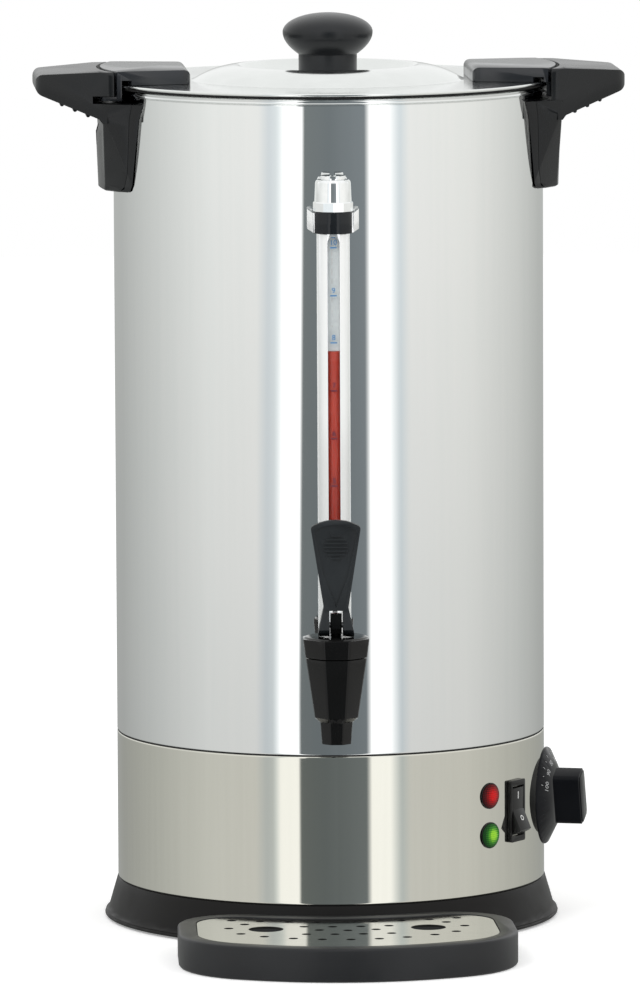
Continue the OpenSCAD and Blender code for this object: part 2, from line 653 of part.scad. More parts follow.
// Point of the lever's cam that touches the bonnet when the lever is tilted by a degrees.
// The distance from pin to bonnet grows evenly with the tilt, so stem and lever keep one ratio.
cam_rate = stem_lift / lever_tilt;
function cam_point(a) =
    let(reach = cam_r + cam_rate * a, slope = cam_rate * 180 / PI)
    [-reach * sin(a) - slope * cos(a), -reach * cos(a) + slope * sin(a)];

// Side view of the lever about its pin: cam foot, waist and a paddle that leans forward a little
function lever_side() = rounded(concat(
    [[4.6, -cam_r, 1.5], [5, 6, 2], [2.4, 14, 6], [0.6, 55.2, 1.6], [-3.8, 55.2, 1.6], [-5.4, 7, 4]],
    [for (a = [lever_tilt:-lever_tilt / 8:0]) cam_point(a)]), 3);

// Front view of the lever about its pin
function lever_front() = rounded(concat(
    [[9.3, -9], [9.3, -3.6], [6.4, 9.6, 4], [13, 51.2, 1.8]], arc([0, 29.9], 25, 64, 116, 8),
    [[-13, 51.2, 1.8], [-6.4, 9.6, 4], [-9.3, -3.6], [-9.3, -9]]));

// Tap lever: forked foot with a cam, and a paddle with a raised border and grip lines
module tap_lever() color(grey_black) at_tap() translate([0, 0, pin_z]) difference() {
    intersection() {
        along_y(30) polygon(lever_front());
        translate([-20, 0, 0]) along_x(40) polygon(lever_side());
    }
    // sunk field inside the border
    difference() {
        intersection() {
            along_y(30) polygon(rounded(concat([[0, 9.6], [6.3, 26.5, 14], [11, 48, 1.5]],
                arc([0, 29.9], 22.5, 64, 116, 6), [[-11, 48, 1.5], [-6.3, 26.5, 14]])));
            translate([-20, -9.1, 0]) along_x(40) polygon([[0, 8], [5.0, 8], [6.2, 56], [0, 56]]);
        }
        for (i = [-3:3]) let(w = 6.3 * sqrt(1 - i * i / 10.6))
            translate([-w, -20, 40.5 + 1.95 * i]) cube([2 * w, 40, 0.7]);
    }
    // fork round the post, and the pin's hole
    translate([-fork_w / 2, -20, -20]) cube([fork_w, 40, 27.9]);
    translate([-20, 0, 0]) rotate([0, 90, 0]) cylinder(r = pin_r + 0.05, h = 40, $fn = 32);
}

// ---- Gauge ----------------------------------------------------------------------------------

// Tee on the shank, which carries the gauge tube in its socket
module gauge_tee() color(steel) difference() {
    union() {
        outwards(tap_turn, tap_z) translate([0, 0, tee_reach[0]]) cylinder(r = tee_r, h = tee_reach[1] - tee_reach[0]);
        at_gauge() translate([0, 0, tap_z]) cylinder(r = 7.3, h = socket_top - tap_z);
    }
    outwards(tap_turn, tap_z) translate([0, 0, body_r - 5]) cylinder(r = shank_r + slip, h = 40);
    at_gauge() {
        translate([0, 0, tap_z + 12]) cylinder(r = 6.2, h = 30);
        translate([0, 0, tap_z]) cylinder(r = 3, h = 30);
    }
}

// Rubber rings that seal the tube in the tee and in the cap
module gauge_seals() color(gloss_black) at_gauge() {
    translate([0, 0, tap_z + 13]) tube(6.15, glass_r[1] + 0.05, 4);
    translate([0, 0, cap_z + 3]) tube(6.9, glass_r[1] + 0.05, 3);
}

// Glass tube
module gauge_tube() color([0.85, 0.92, 0.94, 0.5]) at_gauge()
    translate([0, 0, tap_z + 12.4]) tube(glass_r[1], glass_r[0], cap_z + 8 - tap_z - 12.4);

// Red column that shows the level
module gauge_column() color([0.72, 0.16, 0.10]) at_gauge()
    translate([0, 0, tap_z + 12.5]) cylinder(r = glass_r[0] - 0.1, h = 314.6 - 154.5);

// Polished guard: a tube open at the back, with a long window in front
module gauge_guard() color(white) at_gauge() difference() {
    translate([0, 0, tap_z + 14]) tube(guard_r, guard_r - guard_t, guard_top - tap_z - 14);
    translate([-20, 3.4, 0]) cube([40, 20, guard_top + 1]);
    translate([-window_w / 2, -20, tap_z + 40]) cube([window_w, 20, window_top - window_w / 2 - tap_z - 40]);
    translate([0, 0, window_top - window_w / 2]) rotate([90, 0, 0]) cylinder(r = window_w / 2 + 0.01, h = 20);
}

// Collar that holds the guard, the tube and the cap, with a winged bracket that stands on the vessel
module gauge_collar() color(gloss_black) difference() {
    at_gauge() translate([0, 0, collar_z]) difference() {
        union() {
            cylinder(r = collar_r, h = collar_h);
            intersection() {
                linear_extrude(collar_h + 3) polygon(mirrored([[13.35, 12], [13.35, -2], [10.7, -4.9], [0, -4.9]]));
                along_y(40) polygon(mirrored([[0, 0.3], [10, 0.3], [13.4, 2.2], [13.4, collar_h + 1.6],
                    [11, collar_h - 0.3], [0, collar_h - 0.3]]));
            }
        }
        translate([0, 0, -1]) cylinder(r = guard_r + slip, h = 5.1);
        translate([0, 0, 3]) cylinder(r = glass_r[1] + 0.5, h = 20);
    }
    translate([0, 0, collar_z - 1]) cylinder(r = body_r + 0.02, h = collar_h + 6, $fn = fine);
}

// Chromed cap with a cross-cut crown, which unscrews to clean the tube
module gauge_cap() color(steel) at_gauge() translate([0, 0, cap_z]) difference() {
    union() {
        intersection() {
            cylinder(r = 10.15, h = 4.9);
            translate([0, 0, -1]) cylinder(r = 10.4, h = 7, $fn = 12);
        }
        translate([0, 0, 4.8]) cylinder(r1 = 9.65, r2 = 9.2, h = 10);
        translate([0, 0, 14.7]) cylinder(r1 = 9.2, r2 = 8.4, h = 2.1);
        translate([0, 0, 16.7]) cylinder(r = 6.2, h = 0.6);
        translate([0, 0, 17.2]) cylinder(r1 = 6.8, r2 = 6.5, h = 2.6);
    }
    translate([0, 0, -1]) cylinder(r = 7, h = 9);
    for (a = [0, 90]) rotate([0, 0, a]) translate([-1.5, -10, 18.2]) cube([3, 20, 5]);
    cylinder(r = 1.2, h = 30);
}

// ---- Control panel --------------------------------------------------------------------------

// Lamp housing: a thin black bezel with a barrel through the band
module lamp_body(z) color(gloss_black) outwards(lamp_turn, z) difference() {
    union() {
        translate([0, 0, body_r + 0.05]) cylinder(r = lamp_r, h = 0.55);
        translate([0, 0, body_r - 20]) cylinder(r = 5.4, h = 20.1);
        for (x = [-2.4, 1.6]) translate([x, -1.6, body_r - 26]) cube([0.8, 3.2, 7]);
    }
    translate([0, 0, body_r - 14]) cylinder(r = 4.5, h = 20);
}

// Domed lens that fills the bezel
module lamp_lens(z) outwards(lamp_turn, z) translate([0, 0, body_r + 0.62]) {
    rotate_extrude() polygon(concat([[0, 0], [lamp_r - 0.5, 0], [lamp_r - 0.5, 0.3]],
        arc([0, -18.06], 19.46, 70.6, 90, 7)));
    translate([0, 0, -12]) cylinder(r = 4.3, h = 12.1);
}

module lamp_red_body() lamp_body(lamp_z);
module lamp_green_body() lamp_body(lamp_low_z);
module lamp_red_lens() color([0.70, 0.07, 0.08]) lamp_lens(lamp_z);
module lamp_green_lens() color([0.20, 0.62, 0.12]) lamp_lens(lamp_low_z);

// Switch frame: the bezel outside the band and the housing with its terminals inside
module switch_frame() color(gloss_black) outwards(switch_turn, panel_z) difference() {
    union() {
        translate([0, 0, body_r + 0.05]) linear_extrude(2) polygon(rounded([
            [-switch_w / 2, -switch_h / 2, 1], [switch_w / 2, -switch_h / 2, 1],
            [switch_w / 2, switch_h / 2, 1], [-switch_w / 2, switch_h / 2, 1]], 3));
        translate([-6.7, -14, body_r - 22]) cube([13.4, 28, 22.1]);
        for (y = [-8, 0, 8]) translate([-3.1, y - 0.4, body_r - 31]) cube([6.2, 0.8, 9.2]);
    }
    translate([-5.9, -13.4, body_r - 16]) cube([11.8, 26.8, 30]);
    translate([-10, 0, rocker_pivot]) rotate([0, 90, 0]) cylinder(r = trunnion_r + 0.05, h = 20, $fn = 32);
}

// Side view of the rocker about its pivot, level: two flats that meet in the middle
function rocker_side() = concat(
    [[0, 4]], arc([0, 0], rocker_r, 30, -2, 5), arc([0, 0], rocker_r, 182, 150, 5));

// Rocker, with its upper end pressed in, on two trunnions that turn in the frame's walls
module switch_rocker() color(black) outwards(switch_turn, panel_z) translate([0, 0, rocker_pivot]) {
    rotate([-rocker_angle, 0, 0]) translate([-rocker_w / 2, 0, 0]) along_x(rocker_w)
        polygon(rocker_side());
    translate([-6.5, 0, 0]) rotate([0, 90, 0]) cylinder(r = trunnion_r, h = 13, $fn = 32);
}

// Thermostat: plated case with a moulded base, terminals and a threaded nose behind the band
module thermostat() outwards(dial_turn, dial_z) {
    color(dull_steel) difference() {
        union() {
            translate([-17, -15, body_r - 24]) cube([34, 30, 12]);
            translate([0, 0, body_r - 12.1]) cylinder(r = 5.2, h = 11.5);
        }
        translate([0, 0, body_r - 20]) cylinder(r = shaft_r + 0.05, h = 30);
    }
    color(ceramic) translate([-15, -13, body_r - 34]) cube([30, 26, 10.02]);
    color(brass) for (x = [-9, 0, 9]) translate([x - 3.1, -0.4, body_r - 42]) cube([6.2, 0.8, 8.1]);
}

// Spacer between the band and the dial, hollowed to the band's curve
module dial_boss() color(grey_black) difference() {
    outwards(dial_turn, dial_z) translate([0, 0, body_r - 2]) tube(14.5, 5.6, dial_back - body_r + 2 - gap);
    translate([0, 0, dial_z - 20]) cylinder(r = body_r + 0.05, h = 40, $fn = fine);
}

// Shaft that the dial turns, with its flat
module dial_shaft() color(brass) outwards(dial_turn, dial_z) translate([0, 0, body_r - 19]) difference() {
    cylinder(r = shaft_r, h = 31);
    rotate([0, 0, dial_rest]) translate([-5, 2, 21]) cube([10, 5, 12]);
}

// Dial: a coned skirt that carries the scale, and a bar grip across it
module dial_knob() color(gloss_black) outwards(dial_turn, dial_z) translate([0, 0, dial_back]) rotate([0, 0, dial_rest]) difference() {
    union() {
        rotate_extrude() polygon([
            [0, 0], [dial_d / 2, 0], [dial_d / 2, 0.9], [dial_d / 2 - 0.5, 1.5], [15.6, 7], [0, 7]]);
        translate([0, 0, 6.9]) linear_extrude(15.5) bar_outline(0);
        translate([0, 0, 22.3]) linear_extrude(0.9) bar_outline(0.8);
    }
    difference() {
        translate([0, 0, -1]) cylinder(r = shaft_r + 0.02, h = 11);
        translate([-5, 2.02, 2]) cube([10, 5, 12]);
    }
    // hollow under the skirt
    translate([0, 0, -1]) tube(dial_d / 2 - 2, 16, 2);
}

// Plan of the dial's grip: a bar with rounded ends
module bar_outline(inset) let(w = 7.2 - inset, h = 14.2 - inset)
    polygon(rounded([[w, -h, 3], [w, h, 3], [-w, h, 3], [-w, -h, 3]]));

// ---- Inside the base ------------------------------------------------------------------------

// Aluminium plate that spreads the heat under the vessel's floor
module heater_plate() color(dull_steel) translate([0, 0, floor_z - 4]) difference() {
    cylinder(r = 88, h = 4);
    for (i = [0:2]) turned(120 * i) translate([0, 74, -1]) cylinder(r = 2, h = 3);
}

// Sheathed element: an open ring under the plate with its two cold ends turned down
module heating_element() color(dull_steel) {
    translate([0, 0, floor_z - 7.8]) rotate([0, 0, 100]) rotate_extrude(angle = 340) translate([58, 0]) circle(r = 3.8);
    for (a = [100, 80]) {
        rotate([0, 0, a]) translate([58, 0, floor_z - 24]) cylinder(r = 4.4, h = 19.5);
        rotate([0, 0, a]) translate([58, 0, floor_z - 30]) cylinder(r = 1.6, h = 6.1);
    }
}

// Bright shield that keeps the heat off the base
module heat_shield() color(steel) translate([0, 0, seam_z - 21]) difference() {
    cylinder(r = 82, h = 0.8);
    for (i = [0:2]) turned(120 * i) translate([0, 74, -1]) cylinder(r = 2.2, h = 3);
    for (a = [100, 80]) rotate([0, 0, a]) translate([58, 0, -1]) cylinder(r = 7, h = 3);
}

// Studs and nuts that carry the shield
module shield_studs() color(dull_steel) for (i = [0:2]) turned(120 * i) translate([0, 74, 0]) {
    translate([0, 0, seam_z - 27]) cylinder(r = 1.9, h = floor_z - 2 - seam_z + 27);
    translate([0, 0, seam_z - 24.3]) difference() {
        cylinder(r = 4, h = 3.2, $fn = 6);
        translate([0, 0, -1]) cylinder(r = 1.85, h = 6);
    }
}

// Boil-dry cut-out on the middle of the plate
module thermal_cutout() translate([0, 0, floor_z - 4]) {
    color(ceramic) translate([0, 0, -9]) cylinder(r = 8, h = 9);
    color(brass) for (x = [-5, 5]) translate([x - 2.4, -0.4, -17]) cube([4.8, 0.8, 8.1]);
}

// Thermostat's bulb under the plate, and its thin tube, which dips below the element, passes
// outside the shield and ends on the thermostat's case
module sensor_bulb() color(brass) {
    translate([-30, 36, floor_z - 7.2]) rotate([0, 90, 0]) cylinder(r = 3.2, h = 50);
    drop = floor_z - 7.2 - (dial_z + 15) - 1;
    wire([for (i = [0:12]) let(f = i / 12)
        [19.9 + 68.5 * f, 36 - 61.5 * f * f, floor_z - 7.2 - drop * pow(sin(90 * pow(f, 0.8)), 1.5)]], 1);
}

// Terminal block on the base plate
module terminal_block() color(ceramic) translate([-52, 26, plate_z + plate_t]) difference() {
    cube([44, 18, 16]);
    for (i = [0:3]) {
        translate([6.5 + 10.4 * i, 9, 4.5]) cylinder(r = 3, h = 12);
        translate([6.5 + 10.4 * i, -1, 8]) rotate([-90, 0, 0]) cylinder(r = 2, h = 20);
    }
}

// Gland at the back, where the supply lead enters
module cord_gland() color(gloss_black) outwards(180, 40) difference() {
    union() {
        translate([0, 0, body_r - 8]) cylinder(r = 7.2, h = 8.2);
        translate([0, 0, body_r + 0.1]) cylinder(r = 11, h = 3);
        translate([0, 0, body_r + 3]) cylinder(r = 9.4, h = 5.5, $fn = 6);
        translate([0, 0, body_r + 8.4]) cylinder(r = 7, h = 1.6);
        translate([0, 0, body_r - 7]) cylinder(r = 11.5, h = 4, $fn = 6);
    }
    translate([0, 0, body_r - 20]) cylinder(r = 3.8, h = 40);
}

// ---- Drip tray ------------------------------------------------------------------------------

// Right half of the tray's outline without its hollow back, drawn in by an inset
function tray_half(inset) =
    let(r = front_arc - inset, c = [0, front_arc - tray_front], side = tray_w / 2 - inset,
        end = c + r * [sin(front_sweep), -cos(front_sweep)])
    rounded(concat(
        arc(c, r, -90, front_sweep - 90, 8),
        [[side, end.y + (side - end.x) * tan(front_sweep), 50 - 1.6 * inset],
         [side - 1.5, lobe_y - inset, 32 - 1.3 * inset], [0, lobe_y - inset]]), 10);

// Outline of the tray, hollowed at the back to go round the foot
module tray_outline(inset) difference() {
    polygon(mirrored(tray_half(inset)));
    circle(r = tray_back + inset);
}

// Tray: rounded edges, a sunk basin and a ledge that the grid rests on
module drip_tray() color(grey_black) turned(tray_turn) difference() {
    hull() {
        linear_extrude(eps) polygon(mirrored(tray_half(1)));
        translate([0, 0, 1]) linear_extrude(tray_h - 2.4) polygon(mirrored(tray_half(0)));
        translate([0, 0, tray_h - 0.5]) linear_extrude(eps) polygon(mirrored(tray_half(0.5)));
        translate([0, 0, tray_h - eps]) linear_extrude(eps) polygon(mirrored(tray_half(1.6)));
    }
    translate([0, 0, -1]) cylinder(r = tray_back, h = 40);
    translate([0, 0, tray_floor]) linear_extrude(40) tray_outline(tray_rim + 1.6);
    translate([0, 0, grid_z - 2.9]) linear_extrude(40) tray_outline(tray_rim - 0.4);
}

// Places children at each small hole of the grid
module grid_holes() {
    // curved rows across the back and the front
    for (i = [-4:4]) translate([14.7 * i, -140.6 + 0.6 * i * i]) children();
    for (i = [-3:3]) translate([14.7 * i, -197.5 + 1.4 * i * i]) children();
    // staggered rows between the drains
    for (i = [-3, -1, 1, 3], y = [-155.5, -180]) translate([7.35 * i, y + 0.15 * i * i]) children();
    for (i = [-1:1]) translate([14.7 * i, -167.7 + 2 * abs(i)]) children();
    // round the outer side of each drain
    for (side = [-1, 1], a = [58, 12, -46]) translate([side * (drain_x + 19.6 * cos(a)), drain_y + 19.6 * sin(a)]) children();
}

// Stainless grid: a plate with a turned-down edge, two drains and a field of small holes
module drip_grid() color(steel) turned(tray_turn) translate([0, 0, grid_z]) difference() {
    union() {
        linear_extrude(grid_t) tray_outline(tray_rim);
        translate([0, 0, -2.6]) linear_extrude(3) difference() {
            tray_outline(tray_rim);
            tray_outline(tray_rim + 1);
        }
    }
    for (side = [-1, 1]) translate([side * drain_x, drain_y, -1]) cylinder(r = drain_r, h = 4);
    translate([0, 0, -1]) grid_holes() cylinder(r = hole_r, h = 4, $fn = 24);
}

// ---- The pieces -----------------------------------------------------------------------------

tank();
tank_floor();
base_band();
foot_ring();
base_plate();
rubber_feet();
base_screws();
handle_grip_right();
handle_grip_left();
handle_saddle_right();
handle_saddle_left();
handle_bosses();
handle_screws();
lid_pan();
lid_knob();
lid_knob_washer();
lid_knob_screw();
lid_lug_right();
lid_lug_left();
lid_lug_rivets();
tap_body();
tap_bonnet();
tap_gaskets();
tap_nut();
tap_stem();
tap_seat_cup();
tap_spring();
tap_pin();
tap_lever();
gauge_tee();
gauge_seals();
gauge_tube();
gauge_column();
gauge_guard();
gauge_collar();
gauge_cap();
lamp_red_body();
lamp_red_lens();
lamp_green_body();
lamp_green_lens();
switch_frame();
switch_rocker();
thermostat();
dial_boss();
dial_shaft();
dial_knob();
heater_plate();
heating_element();
heat_shield();
shield_studs();
thermal_cutout();
sensor_bulb();
terminal_block();
cord_gland();
drip_tray();
drip_grid();
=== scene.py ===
# Hot water urn: finishes, fine parts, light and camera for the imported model.
# Lengths are written in millimetres and turned to metres by mm().
import bpy
import json
import math
from mathutils import Euler, Matrix, Vector

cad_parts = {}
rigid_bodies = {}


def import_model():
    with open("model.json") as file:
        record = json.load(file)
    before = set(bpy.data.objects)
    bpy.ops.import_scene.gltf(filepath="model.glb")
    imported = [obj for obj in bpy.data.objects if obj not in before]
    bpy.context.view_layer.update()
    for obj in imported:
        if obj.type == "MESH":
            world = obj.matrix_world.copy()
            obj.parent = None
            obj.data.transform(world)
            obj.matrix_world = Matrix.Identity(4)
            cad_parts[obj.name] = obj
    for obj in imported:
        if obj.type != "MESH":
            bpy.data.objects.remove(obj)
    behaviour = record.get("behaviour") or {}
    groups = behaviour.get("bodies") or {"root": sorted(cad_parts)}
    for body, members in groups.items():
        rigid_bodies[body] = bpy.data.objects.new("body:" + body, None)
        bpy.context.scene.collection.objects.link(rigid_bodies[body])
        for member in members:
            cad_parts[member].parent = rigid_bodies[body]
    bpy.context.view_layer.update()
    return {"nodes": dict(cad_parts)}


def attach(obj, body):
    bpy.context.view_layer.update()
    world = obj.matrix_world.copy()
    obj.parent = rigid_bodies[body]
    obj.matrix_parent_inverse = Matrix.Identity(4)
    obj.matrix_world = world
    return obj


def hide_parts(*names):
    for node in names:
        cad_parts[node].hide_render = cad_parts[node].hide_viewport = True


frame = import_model()
solids = frame["nodes"]

# Sizes shared with the solids. A turn is in degrees round the urn's axis, from the front.
BODY_R = 114.0           # wall of the vessel and the band
RIM_Z = 444.3            # top of the rolled rim
SEAM_Z = 101.0           # seam between the vessel and the band
TAP_TURN = -2.6          # tap and gauge
GAUGE_REACH = 124.4      # the gauge's axis from the urn's
LAMP_TURN = 43.5
SWITCH_TURN, SWITCH_Z, SWITCH_REACH = 54.9, 63.5, 112
SWITCH_TILT = 12         # the rocker's lean at rest, in degrees
DIAL_TURN, DIAL_Z, DIAL_REACH = 73.9, 66.6, 116.5
INK = 0.03               # thickness of printed ink


# ---- Small tools -----------------------------------------------------------------------------

def mm(*values):
    """Millimetres to metres, one number or several."""
    metres = tuple(v / 1000 for v in values)
    return metres if len(metres) > 1 else metres[0]


def linear(code):
    """A hex colour as written for a screen, turned to the linear values that shaders take."""
    parts = [int(code[i:i + 2], 16) / 255 for i in (1, 3, 5)]
    return tuple(c / 12.92 if c <= 0.04045 else ((c + 0.055) / 1.055) ** 2.4 for c in parts) + (1.0,)


def on_side(turn, z, reach):
    """Place on the side of the urn: local +Z points outwards, local +Y up."""
    return (Matrix.Rotation(math.radians(turn), 4, "Z") @ Matrix.Translation(mm(0, -reach, z))
            @ Matrix.Rotation(math.radians(90), 4, "X"))


def upright(turn, reach, z=0.0):
    """Place in front of the urn, turned with it, local +Z up."""
    return Matrix.Rotation(math.radians(turn), 4, "Z") @ Matrix.Translation(mm(0, -reach, z))


def only(obj):
    """Selects one object and nothing else."""
    if bpy.context.object and bpy.context.object.mode != "OBJECT":
        bpy.ops.object.mode_set(mode="OBJECT")
    bpy.ops.object.select_all(action="DESELECT")
    obj.select_set(True)
    bpy.context.view_layer.objects.active = obj
    return obj


def settle(obj, place=Matrix.Identity(4)):
    """Puts the piece at its place and writes that place into its mesh."""
    only(obj)
    obj.matrix_world = place @ obj.matrix_world
    bpy.ops.object.transform_apply(location=True, rotation=True, scale=True)
    return obj


def dress(obj, body, look, smooth, replaces=()):
    """Shades a piece smooth up to an angle, gives it its finish and says which body carries it."""
    only(obj)
    bpy.ops.object.shade_smooth_by_angle(angle=math.radians(smooth))
    obj.data.materials.clear()
    obj.data.materials.append(look)
    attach(obj, body)
    if replaces:
        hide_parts(*replaces)
    return obj


def apply_modifier(obj, kind, **settings):
    """Adds a modifier with its settings and applies it."""
    only(obj)
    modifier = obj.modifiers.new(kind.title(), kind)
    for key, value in settings.items():
        setattr(modifier, key, value)
    bpy.ops.object.modifier_apply(modifier=modifier.name)


def chain(points):
    """Draws a line of edges through points in millimetres and stays in edit mode."""
    bpy.ops.object.select_all(action="DESELECT")
    bpy.ops.mesh.primitive_plane_add(size=mm(1), location=mm(*points[0]))
    obj = bpy.context.object
    bpy.ops.object.mode_set(mode="EDIT")
    bpy.ops.mesh.select_all(action="SELECT")
    bpy.ops.mesh.merge(type="CENTER")
    for a, b in zip(points, points[1:]):
        step = (Vector(b) - Vector(a)) / 1000
        bpy.ops.mesh.extrude_region_move(TRANSFORM_OT_translate={"value": step})
    return obj


def turn_piece(name, profile, steps):
    """Spins a profile of (radius, height) once round the upright axis."""
    obj = chain([(r, 0, z) for r, z in profile])
    bpy.ops.mesh.select_all(action="SELECT")
    bpy.ops.mesh.spin(steps=steps, angle=math.tau, center=(0, 0, 0), axis=(0, 0, 1))
    bpy.ops.mesh.select_all(action="SELECT")
    bpy.ops.mesh.remove_doubles(threshold=mm(0.002))
    bpy.ops.mesh.normals_make_consistent(inside=False)
    bpy.ops.object.mode_set(mode="OBJECT")
    obj.name = name
    return settle(obj)


def slab_piece(name, outline, low, high):
    """Fills a closed outline of (x, y) and raises it from low to high."""
    obj = chain([(x, y, low) for x, y in outline])
    bpy.ops.mesh.select_all(action="SELECT")
    bpy.ops.mesh.remove_doubles(threshold=mm(0.002))
    bpy.ops.mesh.edge_face_add()
    bpy.ops.mesh.extrude_region_move(TRANSFORM_OT_translate={"value": mm(0, 0, high - low)})
    bpy.ops.mesh.select_all(action="SELECT")
    bpy.ops.mesh.normals_make_consistent(inside=False)
    bpy.ops.object.mode_set(mode="OBJECT")
    obj.name = name
    return settle(obj)


def oblong(left, right, low, high):
    """Closed outline of an oblong."""
    return [(left, low), (right, low), (right, high), (left, high), (left, low)]


def arc(cx, cz, r, start, end, steps):
    """Points of an arc in a profile, from one angle to another in degrees."""
    angles = [math.radians(start + (end - start) * i / steps) for i in range(steps + 1)]
    return [(cx + r * math.cos(a), cz + r * math.sin(a)) for a in angles]


# ---- Finishes --------------------------------------------------------------------------------

def add(tree, kind, links=(), stops=(), **settings):
    """Adds a node, sets it up and wires its inputs. Links are (input, value or output), and stops are
    the (place, hex) colours of a ramp."""
    node = tree.nodes.new(kind)
    for key, value in settings.items():
        setattr(node, key, value)
    for name, value in links:
        socket = node.inputs[name]
        if isinstance(value, bpy.types.NodeSocket):
            tree.links.new(value, socket)
        else:
            socket.default_value = value
    if stops:
        while len(node.color_ramp.elements) < len(stops):
            node.color_ramp.elements.new(0.5)
        for shade, (place, code) in zip(node.color_ramp.elements, stops):
            shade.position = place
            shade.color = linear(code)
    return node


def finish(name, **surface):
    """A new material with one principled shader; returns it, its tree and the shader."""
    material = bpy.data.materials.new(name)
    material.use_nodes = True
    tree = material.node_tree
    tree.nodes.clear()
    shader = add(tree, "ShaderNodeBsdfPrincipled", surface.items())
    add(tree, "ShaderNodeOutputMaterial", [("Surface", shader.outputs[0])])
    return material, tree, shader


def grain(tree, scale, stretch=(1, 1, 1), detail=3.0):
    """A noise pattern on the object's own coordinates; scale is the number of grains to the metre."""
    place = add(tree, "ShaderNodeTexCoord")
    drawn = add(tree, "ShaderNodeMapping", [("Vector", place.outputs["Object"]), ("Scale", stretch)])
    noise = add(tree, "ShaderNodeTexNoise",
                [("Vector", drawn.outputs[0]), ("Scale", scale), ("Detail", detail)])
    return noise.outputs[0]


def tinted(tree, shader, pattern, *stops):
    """Colours a surface by a pattern, through (place, hex) stops."""
    tone = add(tree, "ShaderNodeValToRGB", [("Fac", pattern)], stops)
    tree.links.new(tone.outputs[0], shader.inputs["Base Color"])


def glossed(tree, shader, pattern, low, high):
    """Lets a pattern's usual swing, 0.3 to 0.7, take the roughness from low to high."""
    rough = add(tree, "ShaderNodeMapRange", [("Value", pattern), ("From Min", 0.3), ("From Max", 0.7),
                                             ("To Min", low), ("To Max", high)])
    tree.links.new(rough.outputs[0], shader.inputs["Roughness"])


def raised(tree, shader, pattern, depth):
    """Gives a surface the relief of a pattern; depth is its height in millimetres."""
    bump = add(tree, "ShaderNodeBump", [("Height", pattern), ("Strength", 1.0), ("Distance", mm(depth))])
    tree.links.new(bump.outputs[0], shader.inputs["Normal"])


def polished_steel(name, pale, dark, low, high, metal=1.0):
    """Mirror-polished 18/10 stainless: buffing leaves faint upright streaks, about 4 mm wide, in the tone
    and the gloss of a surface that otherwise shows the room."""
    material, tree, shader = finish(name, Metallic=metal)
    streaks = grain(tree, 260, stretch=(1, 1, 0.02))
    cloud = grain(tree, 9, detail=1.0)
    mixed = add(tree, "ShaderNodeMix", [("Factor", 0.5), ("A", streaks), ("B", cloud)], data_type="FLOAT")
    tinted(tree, shader, mixed.outputs[0], (0.35, dark), (0.65, pale))
    glossed(tree, shader, streaks, low, high)
    return material


def satin_steel(name, pale, dark, stretch, low, high, depth, scale=900):
    """Ground or spun stainless: soft lines or clouds in tone, gloss and relief. Real grit lines, 0.1 mm
    apart, are too fine to show, so they are drawn about 1 mm apart."""
    material, tree, shader = finish(name, Metallic=1.0)
    lines = grain(tree, scale, stretch=stretch, detail=4.0)
    tinted(tree, shader, lines, (0.3, dark), (0.7, pale))
    glossed(tree, shader, lines, low, high)
    raised(tree, shader, lines, depth)
    return material


def moulded(name, pale, dark, low, high, depth, pebble=0.5, level=0.5):
    """Moulded plastic: a tool surface with pebbles of this size, cloudy gloss and a slight drift in
    colour, so that broad faces don't look painted."""
    material, tree, shader = finish(name, **{"IOR": 1.5, "Specular IOR Level": level})
    pebbles = grain(tree, 1000 / pebble, detail=2.0)
    cloud = grain(tree, 35)
    tinted(tree, shader, cloud, (0.3, dark), (0.7, pale))
    glossed(tree, shader, cloud, low, high)
    raised(tree, shader, pebbles, depth)
    return material


def plain_metal(name, pale, dark, low, high):
    """Small plated, turned or drawn metal part, mottled every 2.5 mm by handling."""
    material, tree, shader = finish(name, Metallic=1.0)
    mottle = grain(tree, 400)
    tinted(tree, shader, mottle, (0.3, dark), (0.7, pale))
    glossed(tree, shader, mottle, low, high)
    return material


def print_ink(name, code):
    """Pad-printed ink: dull beside what it is printed on, and slightly uneven in colour."""
    material, tree, shader = finish(name)
    drift = 10
    cloud = grain(tree, 600, detail=2.0)
    pale = "#" + "".join("%02x" % min(255, int(code[i:i + 2], 16) + drift) for i in (1, 3, 5))
    tinted(tree, shader, cloud, (0.3, code), (0.7, pale))
    glossed(tree, shader, cloud, 0.4, 0.55)
    return material


def clear_glass():
    """Drawn borosilicate tube: nearly unseen but for its highlights, with the long faint lines of its
    drawing in the gloss."""
    material, tree, shader = finish("borosilicate_tube", **{"Alpha": 0.05, "IOR": 1.47,
                                                            "Base Color": linear("#9fb2b5")})
    glossed(tree, shader, grain(tree, 500, stretch=(1, 1, 0.01)), 0.0, 0.03)
    return material


def level_red():
    """Red indicating column, cloudy like a dyed resin."""
    material, tree, shader = finish("red_column", IOR=1.4)
    cloud = grain(tree, 60)
    tinted(tree, shader, cloud, (0.3, "#c23016"), (0.7, "#d23c20"))
    glossed(tree, shader, cloud, 0.2, 0.3)
    return material


